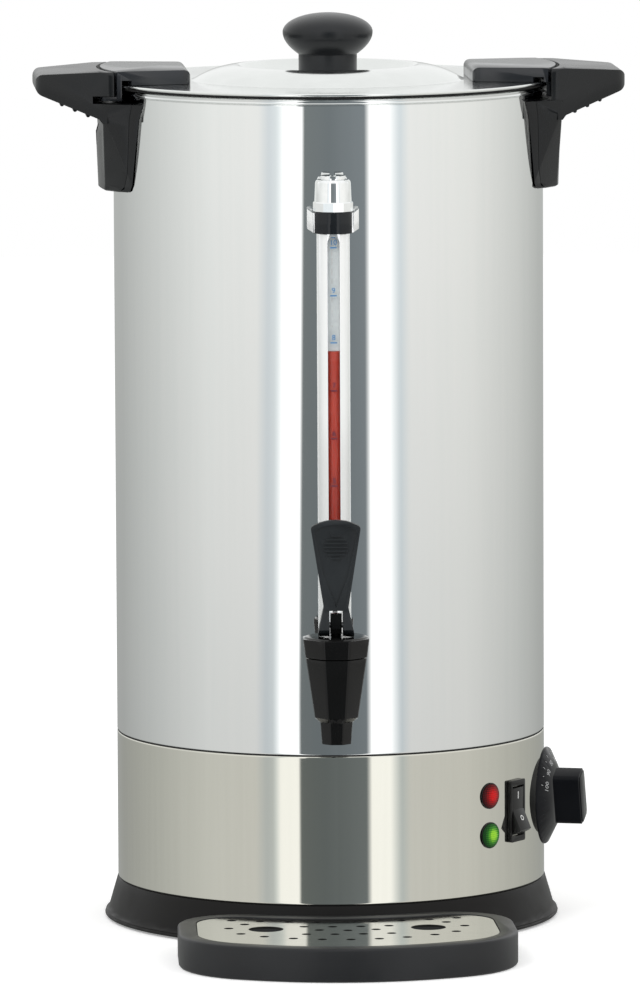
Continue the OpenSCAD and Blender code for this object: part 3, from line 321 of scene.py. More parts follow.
def lamp_lens(name, height, bright, mid, deep, lit):
    """Prismatic polycarbonate lens: small pyramids about 1 mm apart moulded inside, which also mottle the colour
    as painted facet glints, and a painted glow: brightest over the lamp's filament, which stands lit millimetres to
    the side, and fading to deep colour towards the rim."""
    middle, rim = mm(1.5, 7.6)
    material, tree, shader = finish(name, **{"IOR": 1.5, "Specular IOR Level": 0.15})
    place = add(tree, "ShaderNodeTexCoord")
    turned = add(tree, "ShaderNodeMapping", [("Vector", place.outputs["Object"]),
                                             ("Rotation", (0, 0, math.radians(-LAMP_TURN)))])
    away = add(tree, "ShaderNodeMapping", [("Vector", turned.outputs[0]), ("Location", mm(-lit, 0, -height)),
                                           ("Scale", (1, 0, 1))])
    reach = add(tree, "ShaderNodeVectorMath", [(0, away.outputs[0])], operation="LENGTH")
    pyramids = add(tree, "ShaderNodeTexVoronoi", [("Vector", away.outputs[0]), ("Scale", 900), ("Randomness", 0.0)])
    relief = pyramids.outputs["Distance"]
    # Painted glow: distance from the filament takes the colour from bright to deep, and the pyramids add painted
    # facet glints
    depth = add(tree, "ShaderNodeMapRange", [("Value", reach.outputs["Value"]), ("From Min", middle),
                                             ("From Max", rim)])
    glow_and_facets = add(tree, "ShaderNodeMath", [(0, relief), (1, 0.7), (2, depth.outputs[0])], operation="MULTIPLY_ADD")
    tinted(tree, shader, glow_and_facets.outputs[0], (0.3, bright), (0.62, mid), (1.0, deep))
    glossed(tree, shader, relief, 0.1, 0.2)
    raised(tree, shader, relief, 0.12)
    return material


# Drawn vessel, polished last: a clean cold mirror
vessel_steel = polished_steel("polished_stainless", "#ecedec", "#e9ebea", 0.03, 0.04)
# Rolled band, polished less: the same mirror, warmer and a little darker
band_steel = polished_steel("polished_stainless_warm", "#dbdad0", "#d7d6cc", 0.04, 0.05)
# Spun lid: a blurred, cloudy mirror
lid_steel = satin_steel("spun_stainless", "#eaecea", "#e4e6e4", (1, 1, 1), scale=60, low=0.10, high=0.16,
                        depth=0.001)
# Ground grid: bright, with grit lines from side to side
grid_steel = satin_steel("ground_stainless", "#d6d6d4", "#c9c9c7", (0.03, 1, 1), low=0.06, high=0.10,
                         depth=0.0005)
# Buffed guard and bracket: milky, the palest steel
guard_steel = polished_steel("buffed_stainless_tube", "#fafbfb", "#f4f5f5", 0.10, 0.14, 0.75)
# Chrome plate: the sharpest and whitest mirror
chrome = plain_metal("chrome_plate", "#fcfdfd", "#f5f7f7", 0.02, 0.04)
# Zinc plate on fasteners: grey and dull
zinc = plain_metal("zinc_plate", "#b9bbbc", "#9a9c9e", 0.25, 0.4)
# Metals inside: pale milled aluminium, yellow turned brass, red drawn copper, grey spring wire
aluminium = plain_metal("milled_aluminium", "#c4c5c6", "#aeb0b1", 0.3, 0.45)
brass = plain_metal("turned_brass", "#c9ab62", "#b0924c", 0.2, 0.35)
copper = plain_metal("drawn_copper", "#c07a55", "#a56444", 0.2, 0.35)
spring_steel = plain_metal("spring_steel", "#9b9da0", "#808285", 0.2, 0.3)
# Pressed phenolic of the handles: satin black with soft wide highlights
phenolic = moulded("satin_phenolic", "#101214", "#0b0d0f", 0.24, 0.32, depth=0.006, level=0.4)
# Phenolic of the lid's lugs: smoother, and greyer: a paler copy of the handles' phenolic, its grey painted light for
# the light from above
lug_phenolic_painted_light = moulded("lug_phenolic_painted_light", "#292b2f", "#222428", 0.15, 0.22, depth=0.004, level=0.5)
# Buffed phenolic of the knob: dark grey with a soft bright crown
knob_phenolic = moulded("buffed_phenolic", "#1d1f22", "#16181a", 0.26, 0.34, depth=0.004, level=0.4)
# Grained polypropylene of the foot: warm black, almost without shine
charcoal = moulded("grained_polypropylene", "#0f0d0c", "#0a0908", 0.4, 0.52, pebble=0.7, depth=0.014,
                   level=0.22)
# Polypropylene of the tray: dark grey with a low sheen on its rim
tray_black = moulded("tray_polypropylene", "#222325", "#1c1d1f", 0.32, 0.42, pebble=0.6, depth=0.01, level=0.34)
# ABS from a polished tool: black with narrow clear highlights
gloss_black = moulded("glossy_abs", "#100f0f", "#0b0b0a", 0.08, 0.14, depth=0.0006, level=0.28)
# Polyamide of the gauge's ring: glossy and slightly blue
ring_black = moulded("ring_polyamide", "#1b1e21", "#15181b", 0.06, 0.1, depth=0.0004, level=0.3)
# Phenolic of the dial: smooth, deep black, weak reflections
dial_black = moulded("dial_phenolic", "#151619", "#101114", 0.08, 0.13, depth=0.0006, level=0.1)
# Polyamide of the pad behind the dial: dull warm grey
boss_grey = moulded("boss_polyamide", "#2c2c2b", "#242423", 0.4, 0.5, depth=0.006, level=0.4)
# Punched edges and sides of the grid, shaded by the tray below: painted shade, nearly black
edge_painted_shade = moulded("shaded_cut_edge", "#141412", "#0c0c0b", 0.5, 0.6, depth=0.002, level=0.2)
# Polyamide of the lever: matt blue-black
lever_nylon = moulded("matt_nylon", "#1c2124", "#15191c", 0.42, 0.55, depth=0.01, level=0.4)
# Polyamide of the switch: black with a satin sheen on its bevels
switch_black = moulded("switch_polyamide", "#0c0b0b", "#070707", 0.26, 0.36, depth=0.004, level=0.36)
# Rubber: dead matt; also the black of the painted shade rings under the lid and in the seam
rubber = moulded("soft_rubber", "#1c1c1c", "#131313", 0.7, 0.85, depth=0.02)
# Silicone of the tap's seals: milky white
silicone = moulded("white_silicone", "#e2e2dc", "#d2d2cb", 0.4, 0.5, depth=0.004)
# Glazed ceramic of the controls: ivory with a wet shine
ceramic = moulded("glazed_ceramic", "#ece8da", "#ded9c8", 0.15, 0.25, depth=0.002)

# White ink of the rocker's marks, also the painted highlights on the gauge's strip
white_ink_and_glint = print_ink("white_ink_and_glint", "#e6e6e4")
grey_ink = print_ink("grey_ink", "#a4a5a5")
blue_ink = print_ink("blue_ink", "#3c8ac6")
# Blue ink over the red level: a dark violet
dark_blue_ink = print_ink("dark_blue_ink", "#5a2a44")
# Brushed pale strip behind the empty part of the tube
liner_white = print_ink("brushed_liner", "#f0f5f6")

glass = clear_glass()
red_column = level_red()
# Lenses of the pilot lamps: a painted glow over the filament, fading to nearly black at the rim
red_lens = lamp_lens("red_lens_painted_glow", 73.9, "#cc1013", "#900a0d", "#360205", 1.0)
green_lens = lamp_lens("green_lens_painted_glow", 52.9, "#9cdc36", "#388a24", "#083a10", 1.2)

# Every solid takes the finish of its own real material
NODE_FINISH = {
    vessel_steel: ["tank", "tank_floor", "heat_shield"], band_steel: ["base_band"], lid_steel: ["lid_pan"],
    grid_steel: ["drip_grid"], guard_steel: ["gauge_guard"], chrome: ["gauge_tee", "gauge_cap"],
    zinc: ["base_plate", "base_screws", "handle_bosses", "handle_screws", "lid_knob_washer", "lid_knob_screw",
           "lid_lug_rivets", "tap_pin", "shield_studs", "heating_element"],
    spring_steel: ["tap_spring"], aluminium: ["heater_plate"], brass: ["dial_shaft"], copper: ["sensor_bulb"],
    phenolic: ["handle_grip_right", "handle_grip_left", "handle_saddle_right", "handle_saddle_left"],
    lug_phenolic_painted_light: ["lid_lug_right", "lid_lug_left"], knob_phenolic: ["lid_knob"],
    charcoal: ["foot_ring"], tray_black: ["drip_tray"],
    gloss_black: ["tap_body", "tap_bonnet", "tap_nut", "tap_stem", "lamp_red_body", "lamp_green_body",
                  "cord_gland"],
    ring_black: ["gauge_collar"], dial_black: ["dial_knob"], boss_grey: ["dial_boss"],
    lever_nylon: ["tap_lever"], switch_black: ["switch_frame", "switch_rocker"],
    rubber: ["rubber_feet", "gauge_seals"], silicone: ["tap_gaskets", "tap_seat_cup"],
    ceramic: ["thermostat", "thermal_cutout", "terminal_block"], glass: ["gauge_tube"],
    red_column: ["gauge_column"], red_lens: ["lamp_red_lens"], green_lens: ["lamp_green_lens"],
}
finish_of = {node: material for material, names in NODE_FINISH.items() for node in names}
for node, obj in solids.items():
    obj.data.materials.clear()
    obj.data.materials.append(finish_of[node])


# ---- Camera ----------------------------------------------------------------------------------

# A long lens, a little above the urn and to its left
EYE = (-0.32515, -5.02801, 0.79911)                    # metres
EYE_DOWN, EYE_TURN, EYE_ROLL = 6.531, -3.7, -0.253     # degrees

lens = bpy.data.cameras.new("camera")
lens.sensor_fit = "VERTICAL"
lens.sensor_height = 36
lens.lens = 342.41
lens.shift_x = -0.00966
lens.clip_end = 50
camera = bpy.data.objects.new("camera", lens)
bpy.context.scene.collection.objects.link(camera)
camera.matrix_world = (Matrix.Translation(EYE)
                       @ Euler((math.radians(90 - EYE_DOWN), 0, math.radians(EYE_TURN))).to_matrix().to_4x4()
                       @ Matrix.Rotation(math.radians(EYE_ROLL), 4, "Z"))
bpy.context.scene.camera = camera


# ---- Vessel, band, knob, lid and seals -------------------------------------------------------

def make_vessel():
    """Drawn vessel: straight wall and rolled rim."""
    curl, lip = 1.5, 1.4
    profile = (arc(BODY_R + 2.5, RIM_Z - curl, curl, 255, 90, 12) + arc(BODY_R + 0.4, RIM_Z - lip, lip, 90, 180, 6)
               + [(BODY_R - 1, RIM_Z - 4), (BODY_R - 1, 300), (BODY_R - 1, SEAM_Z + 0.2),
                  (BODY_R - 0.7, SEAM_Z), (BODY_R - 0.25, SEAM_Z), (BODY_R, SEAM_Z + 0.3)]
               + [(BODY_R, z) for z in (101.7, 106, 112, 180, 300, 400, 430, 440, 440.7)]
               + arc(BODY_R + 0.5, RIM_Z - 3.2, 0.5, 180, 90, 4))
    profile.append(profile[0])
    return dress(turn_piece("vessel_shell", profile, 256), "urn", vessel_steel, 40, ["tank"])


def make_band():
    """Rolled band: plain wall, a small turned step at the seam and a lip inside the vessel."""
    foot, top, lip = 22.0, SEAM_Z - 0.8, SEAM_Z + 7
    profile = [(BODY_R - 1, foot), (BODY_R - 0.2, foot), (BODY_R, 22.3), (BODY_R, 22.7), (BODY_R, 40),
               (BODY_R, 80), (BODY_R, top - 0.9), (BODY_R, top - 0.6), (BODY_R - 0.1, top - 0.25),
               (BODY_R - 0.4, top), (BODY_R - 1.15, top), (BODY_R - 1.15, lip), (BODY_R - 2.15, lip),
               (BODY_R - 2.15, top - 2), (BODY_R - 1, top - 3), (BODY_R - 1, foot)]
    return dress(turn_piece("band_shell", profile, 256), "urn", band_steel, 40, ["base_band"])


def make_knob():
    """Mushroom knob, turned and buffed: a stalk that flares in 16 steps into a domed crown."""
    wide, neck, top = RIM_Z + 28, RIM_Z + 16.2, RIM_Z + 38.2
    stalk_r, flare, crown_r, steps = 15.5, 8.4, 23.9, 16
    under = [(stalk_r + flare * (1 - (s / steps) ** 2), wide - (wide - neck) * s / steps)
             for s in range(steps, -1, -1)]
    crown = [(crown_r * math.cos(math.radians(a)), wide + (top - wide) * math.sin(math.radians(a)))
             for a in range(5, 91, 5)]
    profile = [(0, RIM_Z + 22), (2.5, RIM_Z + 22), (2.5, RIM_Z + 3.3), (15.2, RIM_Z + 3.3),
               (stalk_r, RIM_Z + 3.7), (stalk_r, RIM_Z + 9)] + under + crown
    profile[-1] = (0, top)
    return dress(turn_piece("knob_turned", profile, 96), "lid", knob_phenolic, 50, ["lid_knob"])


def make_lid():
    """Pressed lid: dished centre, raised ring, cone, flat flange, curled edge and a locating step."""
    top, crown, sheet, fold = RIM_Z + 2.9, RIM_Z + 10.7, 1.0, 3.4
    lean = math.radians(86)
    cx, cz = 48.5, crown - fold
    sx, sz = cx + fold * math.cos(lean), cz + fold * math.sin(lean)
    r = (sz - top) / (math.sin(lean) - math.sin(math.radians(57)))
    outer = ([(2.8, RIM_Z + 3.1), (34, RIM_Z + 3.1)] + arc(36, RIM_Z + 10.1, 7, -90, -40, 10)
             + arc(cx, cz, fold, 140, 86, 12)
             + arc(sx - r * math.cos(lean), sz - r * math.sin(lean), r, 85, 57, 16)
             + [(72.7, top - 0.02), (73.5, top), (80, top), (100, top)])
    edge = arc(BODY_R + 3.2, top - sheet / 2, 0.8, 141.3, -141.3, 18)
    step = [(111, top - sheet), (111, RIM_Z - 4), (110, RIM_Z - 4), (110, top - sheet)]
    inner = [(x, z - sheet) for x, z in reversed(outer[:-1])]
    profile = outer + edge + step + inner + [outer[0]]
    return dress(turn_piece("lid_spun", profile, 256), "lid", lid_steel, 40, ["lid_pan"])


def make_painted_shade_rings():
    """Painted shade: a black rubber ring under the lid's flange for the dark gap between the lid's edge and the rim,
    and a black ring that shows in the seam above the band for the seam's shade line.
    """
    low, high = RIM_Z + 0.3, RIM_Z + 1.9
    profile = [(111.1, low), (115.9, low), (116.2, low + 0.3), (116.2, high), (111.1, high), (111.1, low)]
    dress(turn_piece("lid_gasket", profile, 192), "lid", rubber, 40)
    profile = oblong(113.1, 113.8, SEAM_Z - 0.8, SEAM_Z)
    dress(turn_piece("seam_seal", profile, 192), "urn", rubber, 40)


make_vessel()
make_band()
make_knob()
make_lid()
make_painted_shade_rings()


# ---- Mouldings with rounded edges ------------------------------------------------------------

def fuller_leg(obj, side):
    """Gives a handle's leg its rounded outer face and its fuller, blunter foot; side is 1 or -1."""
    low, top, foot_height, ease = RIM_Z - 53.5, RIM_Z - 18, 3.6, 6
    outer_face, inner_face, half_width = 116.2, 110, 25
    belly, foot_belly, widening = 2.3, 1.7, 0.035
    for y in (-23, -18, -12, -6, 0, 6, 12, 18, 23):
        bpy.ops.mesh.select_all(action="SELECT")
        bpy.ops.mesh.bisect(plane_co=mm(0, y, 0), plane_no=(0, 1, 0))
    for z in (top, top - 3, top - ease, top - 15, top - 24, low + foot_height, low + foot_height / 2):
        bpy.ops.mesh.select_all(action="SELECT")
        bpy.ops.mesh.bisect(plane_co=mm(0, 0, z), plane_no=(0, 0, 1))
    bpy.ops.object.mode_set(mode="OBJECT")
    for point in obj.data.vertices:
        x, y, z = (c * 1000 for c in point.co)
        x, y = x * side, y * side
        if z < top:
            if x > outer_face:
                x += belly * min(1.0, (top - z) / ease) * max(0.0, 1 - (y / half_width) ** 2)
            if x > inner_face:
                x += foot_belly * max(0.0, (low + foot_height - z) / foot_height)
            y *= 1 + widening * (top - z) / (top - low)
            point.co = mm(x * side, y * side, z)
    bpy.ops.object.mode_set(mode="EDIT")


def flatter_dial(obj):
    """Draws the dial's cone and grip in by a tenth of their height above the skirt's edge."""
    edge, share = mm(1.5), 0.9
    bpy.ops.object.mode_set(mode="OBJECT")
    dial = on_side(DIAL_TURN, DIAL_Z, DIAL_REACH)
    back = dial.inverted()
    for point in obj.data.vertices:
        local = back @ point.co
        if local.z > edge:
            local.z = edge + (local.z - edge) * share
            point.co = dial @ local
    bpy.ops.object.mode_set(mode="EDIT")


def softened(node, edge, cut):
    """A copy of a solid with its edges rounded, because a moulding or a casting has no sharp edge."""
    mesh = solids[node].data.copy()
    obj = bpy.data.objects.new(node + "_shell", mesh)
    bpy.context.scene.collection.objects.link(obj)
    only(obj)
    bpy.ops.object.mode_set(mode="EDIT")
    bpy.ops.mesh.select_all(action="SELECT")
    bpy.ops.mesh.remove_doubles(threshold=mm(0.004))
    if node != "drip_grid":
        bpy.ops.mesh.dissolve_limited(angle_limit=math.radians(0.8))
    if node.startswith(("handle_grip", "handle_saddle")):
        fuller_leg(obj, 1 if node.endswith("right") else -1)
    if node == "dial_knob":
        flatter_dial(obj)
    bpy.ops.object.mode_set(mode="OBJECT")
    if edge:
        apply_modifier(obj, "BEVEL", width=mm(edge), segments=2, limit_method="ANGLE",
                       angle_limit=math.radians(cut), use_clamp_overlap=True, harden_normals=False)
    return obj


# (node, body, width of the rounding, least corner that is rounded, greatest corner shaded smooth)
SOFTENED = [
    ("foot_ring", "urn", 0.3, 40, 35),
    ("handle_grip_right", "urn", 0.9, 30, 40), ("handle_grip_left", "urn", 0.9, 30, 40),
    ("handle_saddle_right", "urn", 0.4, 35, 40), ("handle_saddle_left", "urn", 0.4, 35, 40),
    ("lid_lug_right", "lid", 0.6, 30, 40), ("lid_lug_left", "lid", 0.6, 30, 40),
    ("tap_body", "urn", 0.6, 16, 30), ("tap_bonnet", "urn", 0.6, 16, 30), ("tap_lever", "lever", 0.3, 35, 35),
    ("tap_stem", "stem", 0.2, 35, 35), ("gauge_tee", "urn", 0.3, 35, 35), ("gauge_guard", "urn", 0.12, 40, 40),
    ("gauge_collar", "urn", 0.25, 35, 35),
    ("lamp_red_body", "urn", 0.2, 40, 40), ("lamp_green_body", "urn", 0.2, 40, 40),
    ("lamp_red_lens", "urn", 0.1, 40, 40), ("lamp_green_lens", "urn", 0.1, 40, 40),
    ("switch_frame", "urn", 0.25, 35, 35), ("switch_rocker", "rocker", 0.3, 20, 30),
    ("dial_knob", "dial", 0.35, 30, 35), ("dial_boss", "urn", 0.2, 40, 40),
    ("drip_tray", "tray", 0.3, 35, 40), ("drip_grid", "grid", 0, 35, 30),
    ("cord_gland", "urn", 0.3, 30, 30), ("handle_screws", "urn", 0.15, 35, 35), ("rubber_feet", "urn", 0.3, 40, 40),
    ("tap_gaskets", "urn", 0.2, 40, 40), ("base_plate", "urn", 0.15, 40, 35),
]
for node, body, edge, cut, smooth in SOFTENED:
    dress(softened(node, edge, cut), body, finish_of[node], smooth, [node])


# ---- Gauge -----------------------------------------------------------------------------------

def mark_text(name, letters, size, place, body, ink):
    """Printed figures: thin raised ink. Size is the height of a figure, 0.7 of the type's own size."""
    bpy.ops.object.select_all(action="DESELECT")
    bpy.ops.object.text_add(location=(0, 0, 0))
    obj = bpy.context.object
    obj.data.body = letters
    obj.data.size = mm(size / 0.7)
    obj.data.align_x = "CENTER"
    obj.data.align_y = "CENTER"
    obj.data.extrude = mm(INK)
    obj.data.resolution_u = 4
    only(obj)
    bpy.ops.object.convert(target="MESH")
    obj = bpy.context.object
    obj.name = name
    return dress(settle(obj, place), body, ink, 40)


def mark_bar(name, outline, place, body, ink, sunk=INK):
    """Printed bar: the same ink, and how far it is sunk into what carries it."""
    return dress(settle(slab_piece(name, outline, -sunk, INK), place), body, ink, 40)


def make_gauge():
    """Glass tube with its red level, the pale strip with short white streaks of painted highlight for the glass's
    glints, and the litre marks on the glass.
    """
    place = upright(TAP_TURN, GAUGE_REACH)
    low, high, level_top, glass_face = 154.4, 395.0, 314.6, 5.04
    tube = turn_piece("gauge_glass", [(4.75, low), (4.75, high), (5.0, high), (5.0, low), (4.75, low)], 48)
    dress(settle(tube, place), "urn", glass, 40, ["gauge_tube"])
    level = turn_piece("gauge_level", [(0, 154.5), (4.5, 154.5), (4.6, 154.7), (4.6, 314.2), (4.4, 314.5),
                                       (0, level_top)], 48)
    dress(settle(level, place), "urn", red_column, 40, ["gauge_column"])
    liner = slab_piece("gauge_strip", oblong(-3.1, 3.1, -3.45, -3.2), 314.7, 386)
    dress(settle(liner, place), "urn", liner_white, 40)
    # Short upright white streaks on the strip: painted highlights of the glass tube
    for i, (start, end) in enumerate([(364.5, 368.5), (359.5, 363), (354, 357.5), (349.8, 352.2), (340, 343),
                                      (334.8, 336), (327, 328)]):
        painted_glint = slab_piece("dash_%d" % i, oblong(-1.0, -0.5, -3.55, -3.46), start, end)
        dress(settle(painted_glint, place), "urn", white_ink_and_glint, 40)
    for name, letters, size, z in [("ten", "10", 2.7, 371.2), ("nine", "9", 2.8, 346.2), ("eight", "8", 2.8, 321.7),
                                   ("seven", "7", 2.8, 296.7), ("six", "6", 2.8, 271.7), ("five", "5", 2.8, 247.0)]:
        ink = blue_ink if z > level_top else dark_blue_ink
        mark_text("mark_" + name, letters, size, place @ on_side(0, z, glass_face), "urn", ink)
        mark_bar("tick_" + name, oblong(-1.7, 1.7, -0.3, 0.3), place @ on_side(0, z - 2.6, glass_face), "urn",
                 ink, 0.02)
    for name, z in [("full_low", 373.9), ("full_mid", 374.9), ("full_high", 375.9)]:
        mark_bar("tick_" + name, oblong(-1.3, 1.3, -0.3, 0.3), place @ on_side(0, z, glass_face), "urn",
                 blue_ink, 0.02)


def second_finish(name, look, belongs):
    """Gives the faces of a piece that belong to another surface its finish."""
    piece = bpy.data.objects[name]
    piece.data.materials.append(look)
    for face in piece.data.polygons:
        if belongs(face):
            face.material_index = 1


def on_bracket(face):
    """Tells the bright winged bracket from the black ring round the gauge."""
    axis = upright(TAP_TURN, GAUGE_REACH).translation
    return math.hypot(face.center.x - axis.x, face.center.y - axis.y) > mm(10.95)


def on_edge(face):
    """Tells the sides of the grid and of its holes from its flat faces."""
    return abs(face.normal.z) < 0.3


make_gauge()
# The grid's sides and the walls of its holes take the nearly black painted shade
second_finish("drip_grid_shell", edge_painted_shade, on_edge)
second_finish("gauge_collar_shell", guard_steel, on_bracket)


# ---- Marks of the switch and the dial, cap and pad -------------------------------------------

def make_switch_marks():
    """I and O on the rocker's two faces."""
    rocker = on_side(SWITCH_TURN, SWITCH_Z, SWITCH_REACH) @ Matrix.Rotation(math.radians(-SWITCH_TILT), 4, "X")
    tilt = math.radians(12.4)
    upper = rocker @ Matrix.Translation(mm(0, 7.4, 5.64)) @ Matrix.Rotation(tilt, 4, "X")
    mark_bar("mark_on", oblong(-0.3, 0.3, -1.9, 1.9), upper, "rocker", white_ink_and_glint)
    lower = rocker @ Matrix.Translation(mm(0.7, -4.9, 5.09)) @ Matrix.Rotation(-tilt, 4, "X")
    ring = turn_piece("mark_off", oblong(0.95, 1.4, -INK, INK), 32)
    dress(settle(ring, lower), "rocker", white_ink_and_glint, 40)


def make_dial_marks():
    """Figures from 30 to 100 on the dial's skirt, each with a tick and a shorter one half way on."""
    dial = on_side(DIAL_TURN, DIAL_Z, DIAL_REACH)
    hundred, between, skirt_slope = 68.5, 25.5, -26.9
    for i, figure in enumerate(["30", "40", "50", "60", "70", "80", "90", "100"]):
        for minor in (False, True):
            turn = math.radians(hundred - between * (7 - i) - (between / 2 if minor else 0))
            spoke = (dial @ Matrix.Rotation(turn, 4, "Z") @ Matrix.Translation(mm(0, 18.9, 4.8))
                     @ Matrix.Rotation(math.radians(skirt_slope), 4, "X"))
            if not minor:
                mark_text("dial_" + figure, figure, 2.7, spoke, "dial", grey_ink)
            mark_bar("dial_tick_%s_%d" % (figure, minor), oblong(-0.15, 0.15, 0, 0.9 if minor else 1.6),
                     spoke @ Matrix.Translation(mm(0, 3.5, 0)), "dial", grey_ink)


def make_cap():
    """Screwed cap of the gauge: a band with twelve flats, a tall cone and a slotted button on top."""
    place = upright(TAP_TURN, GAUGE_REACH, 387)
    profile = [(5.4, 5.2), (9.65, 5.2), (9.62, 6), (9.25, 14.9), (9.0, 15.9), (8.2, 16.7), (7.0, 16.9), (6.2, 16.9),
               (6.2, 17.2), (6.9, 17.25), (6.75, 18.5), (6.4, 18.8), (0, 18.8), (0, 9.5), (5.4, 9.5), (5.4, 5.2)]
    cap = turn_piece("cap_turned", profile, 64)
    for turn in (0, 90):
        bpy.ops.mesh.primitive_cube_add(size=1, location=mm(0, 0, 19.2), rotation=(0, 0, math.radians(turn)),
                                        scale=mm(3.2, 20, 3.2))
        cutter = settle(bpy.context.object)
        apply_modifier(cap, "BOOLEAN", operation="DIFFERENCE", solver="EXACT", object=cutter)
        bpy.data.objects.remove(cutter, do_unlink=True)
    only(cap)
    bpy.ops.object.mode_set(mode="EDIT")
    bpy.ops.mesh.select_all(action="SELECT")
    bpy.ops.mesh.dissolve_degenerate(threshold=mm(0.002))
    bpy.ops.object.mode_set(mode="OBJECT")
    dress(settle(cap, place), "urn", chrome, 35, ["gauge_cap"])
    profile = [(5.4, 0), (10.1, 0), (10.4, 0.4), (10.4, 4.8), (10.0, 5.3), (5.4, 5.3), (5.4, 0)]
    band = turn_piece("cap_band", profile, 12)
    dress(settle(band, place), "urn", chrome, 20)


def make_backing():
    """Round pad between the band and the dial, under the dial's skirt."""
    profile = [(14.7, 0), (19.6, 0), (20, 0.4), (20, 4.3), (19.7, 4.6), (14.7, 4.6), (14.7, 0)]
    ring = turn_piece("dial_backing", profile, 64)
    dress(settle(ring, on_side(DIAL_TURN, DIAL_Z, 111.6)), "urn", boss_grey, 35)


make_switch_marks()
make_dial_marks()
make_cap()
make_backing()


# ---- Light, floor and surroundings -----------------------------------------------------------

# The room as the steel mirrors it, in degrees from the front, left first: pale walls, two white soft
# boxes with bluish outer edges, and a dark gap between them
ROOM = [(-180, "#b4b6b4"), (-150, "#bcbebc"), (-110, "#d8dad8"), (-70, "#f4f5f3"), (-42, "#f8f8f6"),
        (-36, "#e0e6ea"), (-31, "#eef4f6"), (-28, "#ffffff"), (-17.9, "#ffffff"), (-16.9, "#7a8081"),
        (-4, "#757c7f"), (16.2, "#848b8f"), (17.6, "#ffffff"), (28.5, "#ffffff"), (35, "#e2eaee"),
        (40, "#f8f8f6"), (75, "#f4f4f1"), (115, "#dcddda"), (150, "#bfc1be"), (180, "#b4b6b4")]
# How far each direction's brightness goes from the walls' to the boxes'
BOXES = [(-32, "#000000"), (-28, "#ffffff"), (-17.9, "#ffffff"), (-16.9, "#505050"), (16.2, "#505050"),
         (17.6, "#ffffff"), (28.5, "#ffffff"), (34.5, "#000000")]


def bearings(stops):
    """Stops in degrees from the front, as places on a ramp that runs once round the room."""
    return [((degrees + 180) / 360, code) for degrees, code in stops]


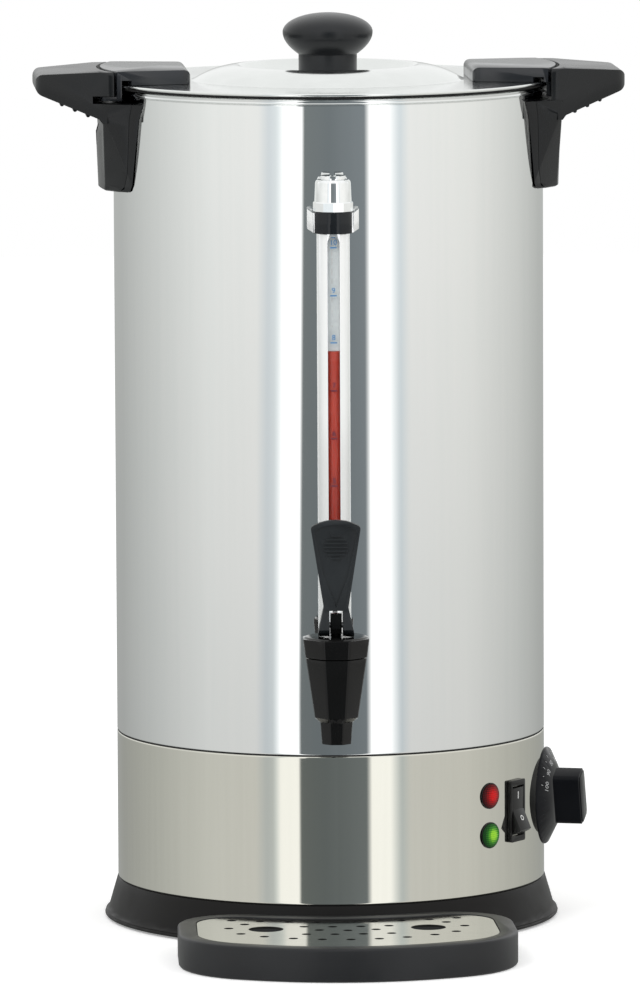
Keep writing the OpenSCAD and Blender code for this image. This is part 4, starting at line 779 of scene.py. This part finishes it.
def make_surroundings():
    """A white room for the eye, and a studio for the steel to mirror, whose edges lean a little low down
    and whose walls are paler high up and at the back."""
    room_light, box_level = 0.72, 1.3
    world = bpy.data.worlds.new("studio")
    bpy.context.scene.world = world
    world.use_nodes = True
    tree = world.node_tree
    tree.nodes.clear()
    way = add(tree, "ShaderNodeTexCoord")
    parts = add(tree, "ShaderNodeSeparateXYZ", [("Vector", way.outputs["Generated"])])
    height = parts.outputs["Z"]
    back = add(tree, "ShaderNodeMath", [(0, parts.outputs["Y"]), (1, -1.0)], operation="MULTIPLY")
    angle = add(tree, "ShaderNodeMath", [(0, parts.outputs["X"]), (1, back.outputs[0])], operation="ARCTAN2")
    left = add(tree, "ShaderNodeMath", [(0, angle.outputs[0]), (1, 0.0)], operation="LESS_THAN")
    lean = add(tree, "ShaderNodeMapRange", [("Value", height), ("From Min", -0.135), ("From Max", -0.074),
                                            ("To Min", math.radians(2.6)), ("To Max", math.radians(-0.8))])
    leaning = add(tree, "ShaderNodeMath", [(0, left.outputs[0]), (1, lean.outputs[0]), (2, angle.outputs[0])],
                  operation="MULTIPLY_ADD")
    bearing = add(tree, "ShaderNodeMapRange", [("Value", leaning.outputs[0]), ("From Min", -math.pi),
                                               ("From Max", math.pi)]).outputs[0]
    ring = add(tree, "ShaderNodeValToRGB", [("Fac", bearing)], bearings(ROOM))
    boxes = add(tree, "ShaderNodeValToRGB", [("Fac", bearing)], bearings(BOXES))
    fall = add(tree, "ShaderNodeMapRange", [("Value", height), ("From Min", -0.14), ("From Max", -0.07),
                                            ("To Min", 0.8), ("To Max", 1.04)])
    level = add(tree, "ShaderNodeMix", [("Factor", boxes.outputs[0]), ("A", fall.outputs[0]), ("B", box_level)],
                data_type="FLOAT")
    behind = add(tree, "ShaderNodeValToRGB", [("Fac", bearing)],
                 [(0, "#ffffff"), (0.17, "#ffffff"), (0.25, "#000000"), (0.75, "#000000"), (0.83, "#ffffff"),
                  (1, "#ffffff")])
    high = add(tree, "ShaderNodeMapRange", [("Value", height), ("From Min", 0.25), ("From Max", 0.7)])
    above = add(tree, "ShaderNodeMapRange", [("Value", height), ("From Min", 0.0), ("From Max", 0.12)])
    rear = add(tree, "ShaderNodeMath", [(0, above.outputs[0]), (1, behind.outputs[0])], operation="MULTIPLY")
    lift = add(tree, "ShaderNodeMath", [(0, rear.outputs[0]), (1, high.outputs[0])], operation="MAXIMUM")
    sky = add(tree, "ShaderNodeMix", [("Factor", lift.outputs[0]), ("A", ring.outputs[0]),
                                      ("B", linear("#fbfcfc"))], data_type="RGBA")
    mirror = add(tree, "ShaderNodeBackground", [("Color", sky.outputs[2]), ("Strength", level.outputs[0])])
    soft = add(tree, "ShaderNodeBackground", [("Color", (1, 1, 1, 1)), ("Strength", room_light)])
    white = add(tree, "ShaderNodeBackground", [("Color", (1, 1, 1, 1)), ("Strength", 1.0)])
    path = add(tree, "ShaderNodeLightPath")
    seen = add(tree, "ShaderNodeMath", [(0, path.outputs["Is Glossy Ray"]), (1, path.outputs["Is Transmission Ray"])],
               operation="MAXIMUM")
    first = add(tree, "ShaderNodeMixShader", [(0, seen.outputs[0]), (1, soft.outputs[0]), (2, mirror.outputs[0])])
    last = add(tree, "ShaderNodeMixShader", [(0, path.outputs["Is Camera Ray"]), (1, first.outputs[0]),
                                             (2, white.outputs[0])])
    add(tree, "ShaderNodeOutputWorld", [("Surface", last.outputs[0])])


def make_floor():
    """A plain white floor that keeps the urn's soft shadow and isn't mirrored by the steel."""
    bpy.ops.object.select_all(action="DESELECT")
    bpy.ops.mesh.primitive_circle_add(vertices=96, radius=4.0, fill_type="NGON", location=mm(0, 0, -0.2))
    floor = settle(bpy.context.object)
    floor.name = "floor"
    material, tree, shader = finish("white_floor", **{"Base Color": linear("#ffffff"), "Roughness": 0.9})
    path = add(tree, "ShaderNodeLightPath")
    clear = add(tree, "ShaderNodeBsdfTransparent")
    glow = add(tree, "ShaderNodeEmission", [("Color", (1, 1, 1, 1)), ("Strength", 0.3)])
    lit = add(tree, "ShaderNodeAddShader", [(0, shader.outputs[0]), (1, glow.outputs[0])])
    seen = add(tree, "ShaderNodeMixShader", [(0, path.outputs["Is Camera Ray"]), (1, shader.outputs[0]),
                                             (2, lit.outputs[0])])
    last = add(tree, "ShaderNodeMixShader", [(0, path.outputs["Is Glossy Ray"]), (1, seen.outputs[0]),
                                             (2, clear.outputs[0])])
    tree.links.new(last.outputs[0], tree.nodes["Material Output"].inputs["Surface"])
    floor.data.materials.append(material)


def make_lamp(name, place, aim, size, power):
    """A square soft box, hidden from mirrors because the room already shows its own. Its place, aim and
    size are in metres, its power in watts."""
    data = bpy.data.lights.new(name, "AREA")
    data.shape = "SQUARE"
    data.size = size
    data.energy = power
    lamp = bpy.data.objects.new(name, data)
    bpy.context.scene.collection.objects.link(lamp)
    lamp.location = place
    lamp.rotation_euler = (Vector(aim) - Vector(place)).to_track_quat("-Z", "Y").to_euler()
    lamp.visible_glossy = False


make_surroundings()
make_floor()
# Out of the band's mirror, which would otherwise be crowded with dark shapes
for piece in bpy.data.objects:
    if piece.name.startswith(("drip_tray", "drip_grid", "dial_")):
        piece.visible_glossy = False
make_lamp("key", (-1.3, -1.9, 2.3), (0, 0, 0.25), 1.2, 22)
make_lamp("fill", (1.6, -1.4, 1.8), (0, 0, 0.25), 1.4, 12)
bpy.context.scene.view_settings.view_transform = "Standard"
